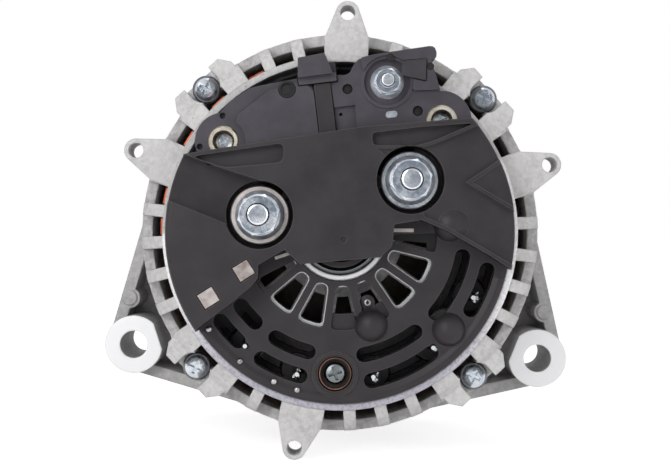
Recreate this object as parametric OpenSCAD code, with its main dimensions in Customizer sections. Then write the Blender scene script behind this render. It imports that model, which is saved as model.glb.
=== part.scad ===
// Vehicle alternator, seen and drawn from its rear, the side with the terminals.
// The shaft lies along Y, up is +Z, and the origin is on the shaft in the belt plane.
// Stations are distances behind the belt plane, so a larger station is nearer the terminals.

/* [Lengths along the shaft] */
// Belt plane to the front face of the drive-end bracket
front_gap = 20; // [18:0.5:26]
// Length of the drive-end bracket up to the stator
front_bracket_len = 42; // [40:1:50]
// Length of the laminated stator stack
stator_len = 38; // [32:1:46]
// Length of the rear bracket from the stator to its machined ring
rear_bracket_len = 45; // [43:1:54]

/* [Stator and rotor] */
// Outer diameter of the stator stack
stator_od = 142; // [138:1:150]
// Bore of the stator stack
stator_bore = 108; // [104:1:112]
// Number of stator slots and end-turn loops
slot_count = 36; // [30:6:42]
// Width of a stator slot
slot_w = 4.6; // [3.6:0.1:5.2]
// Thickness of the paper liner in a slot
liner_t = 0.4; // [0.2:0.1:0.6]
// Air gap between the rotor and the stator
air_gap = 0.45; // [0.4:0.05:0.8]
// Claws on each pole piece
claw_count = 6; // [5:1:7]
// Length of the rotor iron over both pole pieces
pole_len = 46; // [42:1:50]
// Thickness of a pole piece at its web
pole_web = 12; // [10:0.5:14]
// Radius of the pole core that carries the coil
core_r = 28; // [24:0.5:32]

/* [Brackets] */
// Wall of the rim that holds the stator
rim_wall = 2.4; // [2:0.1:3.5]
// Depth of the rim over each end of the stator
rim_lap = 4; // [3:0.5:6]
// Wall of the cast skirts
skirt_wall = 3.8; // [3:0.1:4.6]
// Number of cooling ribs round the rear bracket
rib_count = 36; // [36:36:72]
// Width of a cooling rib
rib_w = 4.4; // [3:0.1:5.4]
// Depth of the corner windows below the machined ring
window_depth = 12.5; // [10:0.5:14]
// Radial room of the corner windows, skirt to machined ring
window_reach = 8.8; // [8:0.1:10]
// Width of the machined ring
ring_w = 2.4; // [2:0.1:3.2]
// Thickness of the bearing plates
plate_t = 4; // [3:0.5:5]

/* [Through bolts] */
// Bolt circle, measured outward from the stator surface
bolt_offset = 0.4; // [0:0.1:1]
// Diameter of the through bolts
bolt_d = 5; // [4:0.5:6]
// Depth of the bolt seats below the machined ring
seat_depth = 14; // [12:0.5:16]
// Metal outside the bolt axis at a lug
lug_edge = 4; // [3.6:0.1:6]

/* [Rear ears] */
// Angles of the four rear ears round the shaft
ear_angles = [20, 90, 160, 260];
// Distance from the shaft to an ear hole
ear_hole_r = 78.3; // [78:0.1:82]
// Diameter of an ear hole
ear_hole_d = 5.3; // [4:0.1:6.4]
// Width of an ear
ear_w = 15.6; // [14:0.1:18]
// Thickness of an ear
ear_t = 13.5; // [8:0.5:15]

/* [Pivot bosses] */
// Distance between the two pivot bores
pivot_span = 154.8; // [152:0.2:168]
// Drop of the pivot bores below the shaft
pivot_drop = 45.5; // [43:0.5:50]
// Outer diameter of a pivot boss
pivot_od = 22; // [20:0.5:26]
// Diameter of a pivot bore
pivot_bore = 10.5; // [8:0.1:12.5]
// Length of a pivot boss
pivot_len = 35; // [30:1:40]
// Depth of the boss faces below the machined ring
pivot_setback = 38; // [37:0.5:42]
// Wall of the arm that carries a boss
arm_wall = 4.6; // [3.5:0.1:6]

/* [Shaft and bearings] */
// Front bearing bore
front_bore = 17; // [15:1:18]
// Front bearing outer diameter
front_od = 47; // [42:1:52]
// Front bearing width
front_w = 14; // [12:0.5:15]
// Rear bearing bore
rear_bore = 15; // [13:1:16]
// Rear bearing outer diameter
rear_od = 35; // [32:1:36]
// Rear bearing width
rear_w = 11; // [10:0.5:12]
// Thickness of the sleeve round the rear bearing
bush_t = 1; // [0.6:0.1:1.5]
// Diameter of the slip rings
slip_d = 17; // [15:0.5:19]
// Width of a slip ring
slip_w = 7; // [6:0.5:8]

/* [Pulley] */
// Outer diameter over the pulley rims
pulley_d = 62; // [56:1:75]
// Width of the pulley
pulley_w = 34; // [32:0.5:36]
// Number of belt ribs
groove_count = 8; // [5:1:8]
// Pitch of the belt ribs
groove_pitch = 3.56; // [3.4:0.02:3.6]

/* [Brushes] */
// Lean of the brush box from straight up
brush_lean = 9; // [5:1:12]
// Width of a carbon brush round the slip ring
brush_w = 8; // [6:0.5:9]
// Thickness of a carbon brush along the shaft
brush_t = 5; // [4:0.1:5.4]
// Length of a new brush
brush_len = 20; // [16:1:24]
// Travel of a brush in its box
brush_travel = 8; // [6:0.5:10]
// Length that a brush spring keeps with its brush fully pushed in
spring_room = 18.5; // [17:0.5:20]
// Clearance on each side of a brush
brush_fit = 0.1; // [0.06:0.01:0.2]

/* [Rectifier and cover] */
// Thickness of a heat sink plate
sink_t = 4; // [3:0.5:4.5]
// Diameter of a diode can
diode_d = 12.7; // [11:0.1:13]
// Height of the terminal cover above the machined ring
cover_h = 15; // [13:0.5:20]
// Wall of the plastic covers
cover_wall = 2.2; // [1.8:0.1:2.6]
// Diameter of the battery studs
stud_d = 8; // [6:0.5:9]
// Length of a battery stud beyond its nut
stud_end = 5; // [2:0.5:8]
// Diameter of the contact discs under the nuts
contact_d = 20.6; // [18:0.2:22]
// Diameter of the charge-lamp stud
lamp_stud_d = 5; // [4:0.5:6]

/* [Hidden] */
$fn = 64;
fit = 0.05;
seat = 0.3;
eps = 0.5;
// Share of a thread's outer radius at which a nut and its stud meet
mean_thread = 0.9;

// Stations of the main faces
front_face = front_gap;
stator_front = front_face + front_bracket_len;
stator_rear = stator_front + stator_len;
ring_face = stator_rear + rear_bracket_len;
stator_mid = (stator_front + stator_rear) / 2;

// Radii that follow the stator
stator_r = stator_od / 2;
bore_r = stator_bore / 2;
rim_r = stator_r + rim_wall;
skirt_r = stator_r + 1;
skirt_in = skirt_r - skirt_wall;
ring_r = skirt_r - window_reach;
ring_in = ring_r - ring_w;
bolt_r = stator_r + bolt_offset;
lug_r = bolt_r + lug_edge;
lug_angles = [45, 135, 225, 315];

// Rear bracket
plate_rear = ring_face - 15;
plate_front = plate_rear - plate_t;
ledge = ring_face - window_depth;
seat_z = ring_face - seat_depth;
shoulder_z = ring_face - 3.5;
ear_top = ring_face - 0.6;
bush_r = rear_od / 2 + bush_t;
hub_r = bush_r + 4;
rear_brg_z = plate_rear - 2 - rear_w;
hub_front = rear_brg_z - 1;
nose_in = 15.2;
nose_out = 16.8;
nose_top = ring_face + 1;

// Drive-end bracket
front_plate_t = 5;
front_brg_z = front_face + front_plate_t + 1.5;
front_brg_end = front_brg_z + front_w;
front_hub_r = front_od / 2 + 9;
retainer_t = 2.5;
retainer_r = front_hub_r - 1;
retainer_screw_r = front_od / 2 + 4.2;
shaft_hole_r = front_bore / 2 + 4.5;

// Pivot bosses
pivot_x = pivot_span / 2;
pivot_z = -pivot_drop;
pivot_r = pivot_od / 2;
pivot_rear = ring_face - pivot_setback;
pivot_front = pivot_rear - pivot_len;
arm_hub_r = rim_r + 0.8;
arm_rear = pivot_rear - 7;
arm_front = stator_front - 12;

// Rotor
rotor_r = bore_r - air_gap;
pole_front = stator_mid - pole_len / 2;
pole_rear = stator_mid + pole_len / 2;
claw_tip_z = pole_rear - 5;
shaft_r = 10;
fan_t = 1.5;
fan_front = pole_front - fan_t;
fan_rear = pole_rear + fan_t;
fan_r = bore_r - 4;
blade_h = 9;
blade_n = 10;
coil_r = rotor_r - 10;
bobbin_wall = 1.6;
thread_r = front_bore / 2 - 0.6;
nut_h = 12;
pulley_web_z = -6;
washer_t = 3;
nut_front = pulley_web_z - washer_t - nut_h;
shaft_front = nut_front - 3;
slip_core_r = 6;
slip_gap = 2;
slip_front = plate_rear + 1;
slip_a = slip_front + slip_gap;
slip_b = slip_a + slip_w + slip_gap;
slip_end = slip_b + slip_w + 1.5;
slip_r = slip_d / 2;
shaft_rear = slip_end + 0.5;

// Brush box
brush_a = slip_a + slip_w / 2;
brush_b = slip_b + slip_w / 2;
brush_angle = 90 + brush_lean;
brush_in = slip_r + 0.02;
brush_wall = 1.5;
shroud_in = slip_r + 1.8;
shroud_out = shroud_in + 2;
box_front = brush_a - brush_t / 2 - brush_fit - 1.2;
box_rear = brush_b + brush_t / 2 + brush_fit + brush_wall;
box_w = brush_w + 2 * (brush_fit + brush_wall);
brush_end = slip_r + brush_len + brush_travel + spring_room;
cap_out = ring_in + 1.6;
spring_wire = 0.7;
spring_r = brush_t / 2 - 0.5;
cap_ledge = 2.4;
rib_side = 2.9;

// Rectifier stack
neg_z = plate_rear;
neg_t = sink_t - 1;
pos_z = ring_face - 6;
board_z = pos_z + sink_t;
board_t = 4;
board_top = board_z + board_t;
board_r = ring_in - 0.2;
lead_top = board_top + 2;
screw_low_z = board_top - 4;
spoke_pitch = 21;
spoke_first = 201;
window_in = 18.9;
window_out = 34.5;
arm_a = 150;
arm_b = 410;
cover_base = board_top;
cover_top = ring_face + cover_h;
contact_top = cover_top - 6;
stud_r = stud_d / 2;
nut_h8 = 9;
nut_top = contact_top + nut_h8;
well_r = contact_d / 2 + 1.5;
collar_r = contact_d / 2 - 2.8;

// Lines across the brush box: where the regulator starts, and the ridge of the cover's top edge
reg_line = 29.2;
cover_peak = 35.4;

// Terminals and screws, as seen from the rear
b1 = [-28.2, 5.2];
b2 = [23.7, 19.1];
lamp = [14.6, 53.1];
screw_left = [-41.8, 30.5];
screw_right = [34.1, 40.4];
screw_low = [0, -50];
weld_a = [-32.8, -14.2];
weld_b = [-44.6, -24];
block_top = cover_top - 5;
block_base = ring_face + 1.5;
block_deck = block_top - 1.5;
lamp_seat = block_top - 3;
sleeve_r = 5.4;
sleeve_in = 3.8;
sleeve_ring = sleeve_r + 1.2;
screw_r = 2;
lamp_r = lamp_stud_d / 2;
lamp_nut_h = 6;

// Diodes as distance from the shaft and angle
pos_diodes = [[34.2, 291], [50.4, 320], [39, 6], [50, 208], [46.5, 184], [36, 203]];
domes = [[34.4, 290.6], [51.4, 320.3], [39, 6]];
dome_r = 6.2;
dome_h = 4.6;
neg_diodes = [[52.2, 232], [52.2, 255], [52.2, 285], [52.2, 311], [52.2, 336], [52.2, 362]];

cast = [0.80, 0.80, 0.79];
machined = [0.88, 0.88, 0.88];
steel = [0.72, 0.73, 0.75];
zinc = [0.78, 0.82, 0.86];
copper = [0.72, 0.36, 0.20];
black = [0.20, 0.19, 0.20];
slate = [0.29, 0.28, 0.32];
iron = [0.40, 0.40, 0.42];

// Turns the rear-view drawing, X right, Y up and station towards the viewer, into place
module rear_view() {
    rotate([90, 0, 0]) children();
}

// An outline extruded between two stations
module slab(z0, z1) {
    translate([0, 0, z0]) linear_extrude(z1 - z0) children();
}

// A profile of radius and station turned about the shaft
module turned() {
    rotate_extrude($fn = 96) children();
}

module band(r_out, r_in) {
    difference() {
        circle(r_out);
        circle(r_in);
    }
}

module pin(p, r, z0, z1) {
    translate([p[0], p[1], z0]) cylinder(r = r, h = z1 - z0);
}

module around(n, first = 0) {
    for (i = [0 : n - 1]) rotate(first + i * 360 / n) children();
}

function polar(r, a) = [r * cos(a), r * sin(a)];

// A box outline from x0 to x1 and y0 to y1
module block2(x0, x1, y0, y1) {
    translate([x0, y0]) square([x1 - x0, y1 - y0]);
}

// Points of an outline with each corner rounded over a distance
function eased(points, ease, steps = 3) = let (n = len(points)) [
    for (i = [0 : n - 1]) let (
        v = points[i],
        a = points[(i + n - 1) % n] - v,
        b = points[(i + 1) % n] - v,
        cut = min(ease, norm(a) * 0.45, norm(b) * 0.45),
        p = v + a / norm(a) * cut,
        q = v + b / norm(b) * cut)
    for (k = [0 : steps]) let (s = k / steps) p * (1 - s) * (1 - s) + v * 2 * s * (1 - s) + q * s * s];

// Everything on the shaft's side of a line across the brush box
module below(y) {
    rotate(brush_lean) block2(-90, 90, -90, y);
}

// The wedge between two angles, out to a radius
module wedge(r, a0, a1) {
    steps = max(2, ceil((a1 - a0) / 40));
    polygon(concat([[0, 0]], [for (i = [0 : steps]) polar(r * 1.3, a0 + (a1 - a0) * i / steps)]));
}

// A slot along an arc, with round ends a hair narrower than the slot
module arc_slot(r, half, a0, a1) {
    intersection() {
        band(r + half, r - half);
        wedge(r + half, a0, a1);
    }
    for (a = [a0, a1]) translate(polar(r, a)) circle(half - 0.03);
}

// Region between the straight tangents of two circles, one on the shaft and one at a boss
module tangent_arm(r_hub, r_end, centre) {
    dist = norm(centre);
    dir = atan2(centre[1], centre[0]);
    lean = acos((r_hub - r_end) / dist);
    polygon([
        polar(r_hub, dir + lean),
        centre + polar(r_end, dir + lean),
        centre + polar(r_end, dir - lean),
        polar(r_hub, dir - lean),
        [0, 0]]);
}

// Cross recess in a screw head, cut from the head's top
module cross_cut(p, z_top, size) {
    translate([p[0], p[1], z_top - size * 0.45]) for (a = [20, 110]) rotate(a)
        translate([-size / 2, -size * 0.11, 0]) cube([size, size * 0.22, size]);
}

// Pan-head screw with its head standing on a station
module pan_screw(p, r, head_r, z_tip, z_seat, head_h) {
    difference() {
        union() {
            pin(p, r, z_tip, z_seat + eps);
            translate([p[0], p[1], z_seat]) rotate_extrude()
                polygon([[0, 0], [head_r, 0], [head_r, head_h * 0.45], [head_r * 0.8, head_h * 0.85],
                    [head_r * 0.5, head_h], [0, head_h]]);
        }
        cross_cut(p, z_seat + head_h, head_r * 1.25);
    }
}

// Flange nut: round flange, hexagon and a chamfered top
module flange_nut(p, flat, flange_r, thread, z0, h) {
    translate([p[0], p[1], z0]) difference() {
        union() {
            rotate_extrude()
                polygon([[0, 0], [flange_r, 0], [flange_r, h * 0.1], [flat * 0.56, h * 0.34], [0, h * 0.34]]);
            intersection() {
                rotate(15) cylinder(r = flat / sqrt(3), h = h, $fn = 6);
                rotate_extrude()
                    polygon([[0, 0], [flat * 0.6, 0], [flat * 0.6, h * 0.88], [flat * 0.5, h], [0, h]]);
            }
        }
        translate([0, 0, -eps]) cylinder(r = thread, h = h + 2 * eps);
    }
}

// Outline of a rear lug: two shoulders and the seat between them
module lug_outline(grow = 0) {
    half = 10.4 + grow;
    inner = ring_in + 0.8;
    polygon([[inner, -half - 2.9], [lug_r - 4 + grow, -half - 2.9], [lug_r + grow, -half],
        [lug_r + grow, half], [lug_r - 4 + grow, half + 2.9], [inner, half + 2.9]]);
}

// Outline of a rear ear, from the plate to its round tip
module ear_outline() {
    half = ear_w / 2;
    tip = 4.2;
    knee = ear_hole_r - 8.8;
    polygon([[ring_in + 1, -half], [knee, -half], [ear_hole_r + tip * 0.35, -tip * 0.94],
        [ear_hole_r + tip * 0.35, tip * 0.94], [knee, half], [ring_in + 1, half]]);
    translate([ear_hole_r, 0]) circle(tip);
}

// Openings at the corner of the rear bracket, between ribs, ears and lugs
module window_field() {
    difference() {
        band(skirt_r + 8, ring_r);
        around(rib_count, 180 / rib_count) block2(ring_r - 2, skirt_r + 9, -rib_w / 2, rib_w / 2);
        for (a = ear_angles) rotate(a) block2(ring_r - 2, skirt_r + 9, -ear_w / 2, ear_w / 2);
        for (a = lug_angles) rotate(a) block2(ring_r - 2, skirt_r + 9, -13.3, 13.3);
    }
    for (a = lug_angles) rotate(a) difference() {
        block2(ring_r - 1, ring_r + 3.8, -4.5, 4.5);
        circle(ring_r + seat);
    }
}

// Metal left in the outer corners of the windows at their ledge, beside the ribs that stand free
module window_corners() {
    half = rib_w / 2;
    free = [for (i = [0 : rib_count - 1]) let (a = (i + 0.5) * 360 / rib_count)
        if (abs(a % 90 - 45) > 12 && min([for (e = ear_angles) abs(a - e)]) > 8) a];
    for (a = free, side = [-1, 1]) rotate(a)
        polygon([[skirt_in - 1.7, side * (half - 0.7)], [skirt_in - 1.6, side * (half + 0.1)],
            [skirt_in - 0.8, side * (half + 0.5)], [skirt_in - 0.2, side * (half + 1.3)],
            [skirt_in + 1, side * (half + 1.8)], [skirt_in + 1, side * (half - 0.7)]]);
}

// Air windows round the bearing hub, shared by the plate, the sink and the board
module hub_windows(r_in, r_out, spoke, first, last) {
    difference() {
        intersection() {
            band(r_out, r_in);
            wedge(r_out, first, last);
        }
        for (a = [spoke_first : spoke_pitch : arm_b]) rotate(a) block2(0, r_out + 2, -spoke / 2, spoke / 2);
    }
}

// One air window between two spokes, wide and round at its outer end
module hub_window(r_in, r_out, spoke, a0, a1) {
    inner = asin(spoke / 2 / r_in);
    outer = asin(spoke / 2 / r_out);
    polygon(eased([polar(r_in, a0 + inner), polar(r_out, a0 + outer), polar(r_out, (a0 + a1) / 2),
        polar(r_out, a1 - outer), polar(r_in, a1 - inner)], 2.3));
}

// Air slots of the rectifier: radius, first and last angle
slot_rows = [[43.6, 218.5, 228.5], [43.6, 240.5, 257], [44, 283, 309], [44.2, 322, 351],
    [52.6, 218.5, 228.7], [52.6, 240, 256.3], [53.5, 284, 309], [53.7, 331.5, 347.8]];

module air_slots(half) {
    for (s = slot_rows) arc_slot(s[0], half, s[1], s[2]);
}

module rear_bracket() color(cast) rear_view() difference() {
    union() {
        turned() polygon([
            [stator_r + fit, stator_rear - rim_lap], [rim_r, stator_rear - rim_lap],
            [rim_r, stator_rear + 4], [skirt_r, stator_rear + 6], [skirt_r, ledge],
            [skirt_r - 0.7, ring_face - 6.5], [skirt_r - 2, ring_face - 3.6], [skirt_r - 4.4, ring_face - 1.9],
            [ring_r, ring_face - 0.6],
            [ring_r, ring_face], [ring_in, ring_face], [ring_in, plate_rear], [hub_r, plate_rear],
            [nose_out, plate_rear + 1.6], [nose_out, nose_top], [nose_in, nose_top],
            [nose_in, plate_rear - 2], [bush_r + fit, plate_rear - 2],
            [bush_r + fit, hub_front], [hub_r, hub_front], [hub_r, plate_front], [ring_r, plate_front],
            [ring_r, ring_face - 6.5], [skirt_in - 0.6, ring_face - 8], [skirt_in, ring_face - 10],
            [skirt_in, stator_rear], [stator_r + fit, stator_rear]]);
        slab(ear_top - ear_t, ear_top) for (a = ear_angles) rotate(a) ear_outline();
        slab(stator_rear - rim_lap, shoulder_z) for (a = lug_angles) rotate(a) lug_outline();
        for (p = [screw_left, screw_right]) pin(p, 5.5, plate_rear - 1, block_base);
        pin(screw_low, 5, plate_rear - 1, pos_z - 3);
    }
    slab(ledge, ring_face + 1) window_field();
    slab(stator_rear - rim_lap - 1, stator_rear) circle(stator_r + fit);
    slab(plate_rear - plate_t - 20, ledge) difference() {
        band(skirt_in, ring_r);
        window_corners();
    }
    slab(stator_rear - 1, plate_front) difference() {
        circle(skirt_in);
        circle(hub_r);
    }
    for (a = lug_angles) rotate(a) {
        slab(seat_z, ring_face) {
            translate([bolt_r, 0]) circle(5.9);
            block2(bolt_r, bolt_r + 12, -5.9, 5.9);
        }
        pin([bolt_r, 0], bolt_d / 2 + 0.25, stator_rear - rim_lap - 1, ring_face);
    }
    for (a = ear_angles) rotate(a) pin([ear_hole_r, 0], ear_hole_d / 2, ear_top - ear_t - 1, ring_face);
    slab(plate_front - 1, plate_rear + 1) {
        hub_windows(hub_r + 1, window_out - 0.5, 4.6, arm_a + 28, arm_b - 30);
        for (a = [30 : 30 : 150]) rotate(a) intersection() {
            band(50, hub_r + 3);
            wedge(50, -10, 10);
        }
    }
    for (d = neg_diodes) pin(polar(d[0], d[1]), diode_d / 2 + 0.4, plate_front - 1, plate_rear + 1);
    rotate(brush_angle) translate([0, -box_w / 2 - seat, plate_rear + 0.5])
        cube([nose_out + 2, box_w + 2 * seat, nose_top]);
    for (p = [screw_left, screw_right]) pin(p, screw_r + fit, plate_rear - 2, block_base + 1);
    pin(screw_low, screw_r + fit, plate_front - 1, ring_face);
}

// Room that the arms leave for the stator and the rear bracket
module arm_clearance() {
    slab(stator_front + rim_lap, ring_face) {
        circle(rim_r + 2.2);
        for (a = lug_angles) rotate(a) lug_outline(1);
    }
}

module pivot_arm(side) {
    centre = [side * pivot_x, pivot_z];
    dir = atan2(pivot_z, side * pivot_x);
    flat_dir = side > 0 ? 160 : 20;
    difference() {
        union() {
            // Arm with a sloped front that ends at the front face of the boss
            difference() {
                slab(arm_front, arm_rear) tangent_arm(arm_hub_r, pivot_r - 0.3, centre);
                rotate(dir) translate([rim_r - 2, -80, arm_front - 2]) rotate([0, -60, 0])
                    translate([-60, 0, -60]) cube([160, 160, 60]);
                pin(centre, pivot_r + 1, arm_front - 40, pivot_front);
            }
            pin(centre, pivot_r, pivot_front, pivot_rear);
            translate([side * 80.6, -28.1, arm_rear - 12]) cylinder(r = 2.85, h = 12.5);
        }
        // Hollow behind the arm, open to the rear
        slab(pivot_front + 6, arm_rear + 1) difference() {
            tangent_arm(arm_hub_r - arm_wall, pivot_r - arm_wall, centre);
            translate(centre) circle(pivot_r);
            translate([side * 80.6, -28.1]) circle(4);
        }
        // Flat on the boss beside the rear bracket
        translate(centre) rotate(flat_dir) translate([pivot_r - 1.3, -pivot_r, arm_front])
            cube([6, 2 * pivot_r, ring_face]);
        arm_clearance();
        pin(centre, pivot_bore / 2, arm_front - 40, pivot_rear + 1);
    }
}

module drive_end_bracket() color(cast) rear_view() difference() {
    union() {
        turned() polygon([
            [shaft_hole_r, front_face], [front_hub_r + 1, front_face], [front_hub_r + 4, front_face + 1.5],
            [skirt_r - 14, front_face + 1.5], [skirt_r - 5, front_face + 4], [skirt_r - 1.4, front_face + 8],
            [skirt_r, front_face + 13], [skirt_r, stator_front - 4], [rim_r, stator_front - 2],
            [rim_r, stator_front + rim_lap], [stator_r + fit, stator_front + rim_lap],
            [stator_r + fit, stator_front], [skirt_in, stator_front], [skirt_in, front_face + 13],
            [skirt_in - 3, front_face + 8.5], [skirt_r - 14, front_face + 1.5 + front_plate_t],
            [front_hub_r, front_face + 1.5 + front_plate_t], [front_hub_r, front_brg_end],
            [front_od / 2 + fit, front_brg_end], [front_od / 2 + fit, front_brg_z],
            [shaft_hole_r, front_brg_z]]);
        slab(front_face + 10, stator_front + rim_lap) difference() {
            for (a = lug_angles) rotate(a) lug_outline();
            circle(skirt_in);
        }
        for (side = [-1, 1]) difference() {
            pivot_arm(side);
            slab(0, ring_face) circle(skirt_in + 1);
        }
    }
    slab(stator_front, ring_face) circle(stator_r + fit);
    // Air inlets in the front face and outlets round the shoulder
    slab(front_face - 1, front_face + front_plate_t + 5) for (i = [0 : 11]) rotate(i * 30) intersection() {
        band(skirt_r - 16, front_hub_r + 4);
        wedge(skirt_r, -10.5, 10.5);
    }
    slab(front_face + 5, front_face + 24) difference() {
        band(skirt_r + 4, skirt_r - 12);
        around(rib_count, 180 / rib_count) block2(skirt_r - 13, skirt_r + 6, -rib_w / 2, rib_w / 2);
        for (a = lug_angles) rotate(a) block2(skirt_r - 13, skirt_r + 9, -13.3, 13.3);
    }
    for (a = lug_angles) rotate(a) pin([bolt_r, 0], bolt_d / 2 + fit, front_face + 14, ring_face);
    for (i = [0 : 3]) pin(polar(retainer_screw_r, 45 + 90 * i), screw_r + fit, front_brg_z + 3, ring_face);
}

// Outline of one stator slot, lying along +X
module slot_outline(inset = 0) {
    block2(bore_r + 2.4 + inset, stator_r - 4.6 - inset, -slot_w / 2 + inset, slot_w / 2 - inset);
}

module stator_core() color(iron) rear_view() slab(stator_front, stator_rear) difference() {
    band(stator_r, bore_r);
    around(slot_count) {
        slot_outline();
        block2(bore_r - 1, bore_r + 3, -1.1, 1.1);
    }
    for (a = lug_angles) rotate(a) translate([bolt_r, 0]) circle(bolt_d / 2 + 0.4);
}

module slot_liners() color([0.85, 0.82, 0.70]) rear_view() slab(stator_front - 1.5, stator_rear + 1.5)
    around(slot_count) difference() {
        slot_outline(0.01);
        slot_outline(liner_t);
        block2(bore_r + 2, bore_r + 3, -1.1, 1.1);
    }

// One end turn: a bundle that rises from the slots and folds over
module end_turn(z0, dir) {
    r_in = bore_r + 2.6;
    r_out = stator_r - 4.8;
    mid = (r_in + r_out) / 2;
    translate([0, 0, z0]) mirror([0, 0, dir < 0 ? 1 : 0]) turned() polygon([
        [r_in + 1, 0], [r_in, 2], [r_in + 0.4, 8.5], [mid - 2.4, 10.8], [mid + 2.2, 11],
        [r_out - 0.6, 9], [r_out, 6], [r_out, 2], [r_out - 0.8, 0]]);
}

module stator_winding() color(copper) rear_view() {
    slab(stator_front - 2, stator_rear + 2) around(slot_count) slot_outline(liner_t);
    end_turn(stator_front - 1.6, -1);
    end_turn(stator_rear + 1.6, 1);
}

module through_bolts() color(zinc) rear_view() for (a = lug_angles)
    rotate(a) pan_screw([bolt_r, 0], bolt_d / 2, 4.1, front_face + 16, seat_z + 1.2, 3.2);

module bolt_washers() color(zinc) rear_view() for (a = lug_angles)
    rotate(a) translate([bolt_r, 0, seat_z]) rotate_extrude()
        polygon([[bolt_d / 2 + fit, 0], [5.1, 0], [5.1, 0.8], [4.6, 1.2], [bolt_d / 2 + fit, 1.2]]);

// Ball size and circle of a bearing from its bore and outer diameter
function ball_r(bore, od) = (od - bore) * 0.145;
function ball_circle(bore, od) = (od + bore) / 4;
function race(bore, od) = ball_r(bore, od) * 0.55;

module bearing_ring(r0, r1, z0, w, centre, ball) {
    translate([0, 0, z0]) rotate_extrude($fn = 96) difference() {
        block2(r0, r1, 0, w);
        translate([centre, w / 2]) circle(ball + 0.03);
    }
}

module inner_ring(bore, od, w, z0) {
    c = ball_circle(bore, od);
    bearing_ring(bore / 2, c - race(bore, od), z0, w, c, ball_r(bore, od));
}

module outer_ring(bore, od, w, z0) {
    c = ball_circle(bore, od);
    bearing_ring(c + race(bore, od), od / 2, z0, w, c, ball_r(bore, od));
}

module balls(n, bore, od, w, z0) {
    around(n) translate([ball_circle(bore, od), 0, z0 + w / 2]) sphere(ball_r(bore, od));
}

module cage(n, bore, od, w, z0) {
    c = ball_circle(bore, od);
    b = ball_r(bore, od);
    difference() {
        slab(z0 + w / 2 - b * 1.19, z0 + w / 2 + b * 1.19) band(c + b * 0.25, c - b * 0.25);
        around(n) translate([c - b, 0, z0 + w / 2]) rotate([0, 90, 0]) cylinder(r = b + 0.1, h = 2 * b);
    }
}

module seal_pair(bore, od, w, z0) {
    c = ball_circle(bore, od);
    for (z = [z0 + 0.2, z0 + w - 1]) slab(z, z + 0.8) band(c + race(bore, od), c - race(bore, od) + 0.15);
}

module front_bearing_outer_ring() color(steel) rear_view() outer_ring(front_bore, front_od, front_w, front_brg_z);
module rear_bearing_outer_ring() color(steel) rear_view() outer_ring(rear_bore, rear_od, rear_w, rear_brg_z);
module front_bearing_inner_ring() color(steel) rear_view() inner_ring(front_bore, front_od, front_w, front_brg_z);
module rear_bearing_inner_ring() color(steel) rear_view() inner_ring(rear_bore, rear_od, rear_w, rear_brg_z);
module front_bearing_balls() color(machined) rear_view() balls(7, front_bore, front_od, front_w, front_brg_z);
module rear_bearing_balls() color(machined) rear_view() balls(8, rear_bore, rear_od, rear_w, rear_brg_z);
module front_bearing_cage() color([0.75, 0.6, 0.3]) rear_view() cage(7, front_bore, front_od, front_w, front_brg_z);
module rear_bearing_cage() color([0.75, 0.6, 0.3]) rear_view() cage(8, rear_bore, rear_od, rear_w, rear_brg_z);

module bearing_seals() color(black) rear_view() {
    seal_pair(front_bore, front_od, front_w, front_brg_z);
    seal_pair(rear_bore, rear_od, rear_w, rear_brg_z);
}

module bearing_retainer() color(steel) rear_view() difference() {
    slab(front_brg_end, front_brg_end + retainer_t) band(retainer_r, front_od / 2 - 3);
    for (i = [0 : 3]) translate([0, 0, front_brg_end]) translate(polar(retainer_screw_r, 45 + 90 * i))
        rotate_extrude() polygon([[0, -1], [screw_r + fit, -1], [screw_r + fit, 0.5], [4, retainer_t],
            [4, retainer_t + 1], [0, retainer_t + 1]]);
}

module retainer_screws() color(zinc) rear_view() for (i = [0 : 3]) {
    p = polar(retainer_screw_r, 45 + 90 * i);
    difference() {
        translate([p[0], p[1], front_brg_end]) rotate_extrude()
            polygon([[0, -8], [screw_r, -8], [screw_r, 0.5], [3.9, retainer_t], [0, retainer_t]]);
        cross_cut(p, front_brg_end + retainer_t, 4);
    }
}

module rear_bearing_bush() color([0.3, 0.3, 0.3]) rear_view()
    slab(rear_brg_z, rear_brg_z + rear_w) band(bush_r, rear_od / 2);

module negative_heat_sink() color(machined) rear_view() slab(neg_z, neg_z + neg_t) difference() {
    intersection() {
        band(ring_in - 0.4, window_out);
        wedge(ring_in, 222, 373);
    }
    for (d = neg_diodes) translate(polar(d[0], d[1])) circle(diode_d / 2);
    translate(screw_low) circle(5 + fit);
    air_slots(1.5);
}

module positive_heat_sink() color(machined) rear_view() difference() {
    slab(pos_z, board_z) difference() {
        intersection() {
            band(ring_in - 4, window_in - 1.2);
            wedge(ring_in, arm_a, arm_b);
            below(reg_line - seat);
        }
        for (i = [1, 2, 5, 6]) hub_window(window_in + 0.5, window_out - 1.1, 3.3,
            spoke_first + i * spoke_pitch, spoke_first + (i + 1) * spoke_pitch);
        hub_windows(window_in + 0.5, window_out + 0.6, 2, spoke_first + 9, spoke_first + spoke_pitch);
        hub_windows(window_in + 0.5, window_out - 5, 2, spoke_first + 3 * spoke_pitch, spoke_first + 5 * spoke_pitch);
        hub_windows(window_in + 0.5, window_out - 2, 2, spoke_first + 7 * spoke_pitch, arm_b - 54);
        air_slots(3);
        for (d = neg_diodes) translate(polar(d[0], d[1])) circle(2.5);
        translate(screw_low) circle(7);
        for (p = [b1, b2]) translate(p) circle(stud_r + fit);
    }
    for (d = pos_diodes) pin(polar(d[0], d[1]), diode_d / 2, pos_z - 1, board_z + 1);
}

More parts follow.
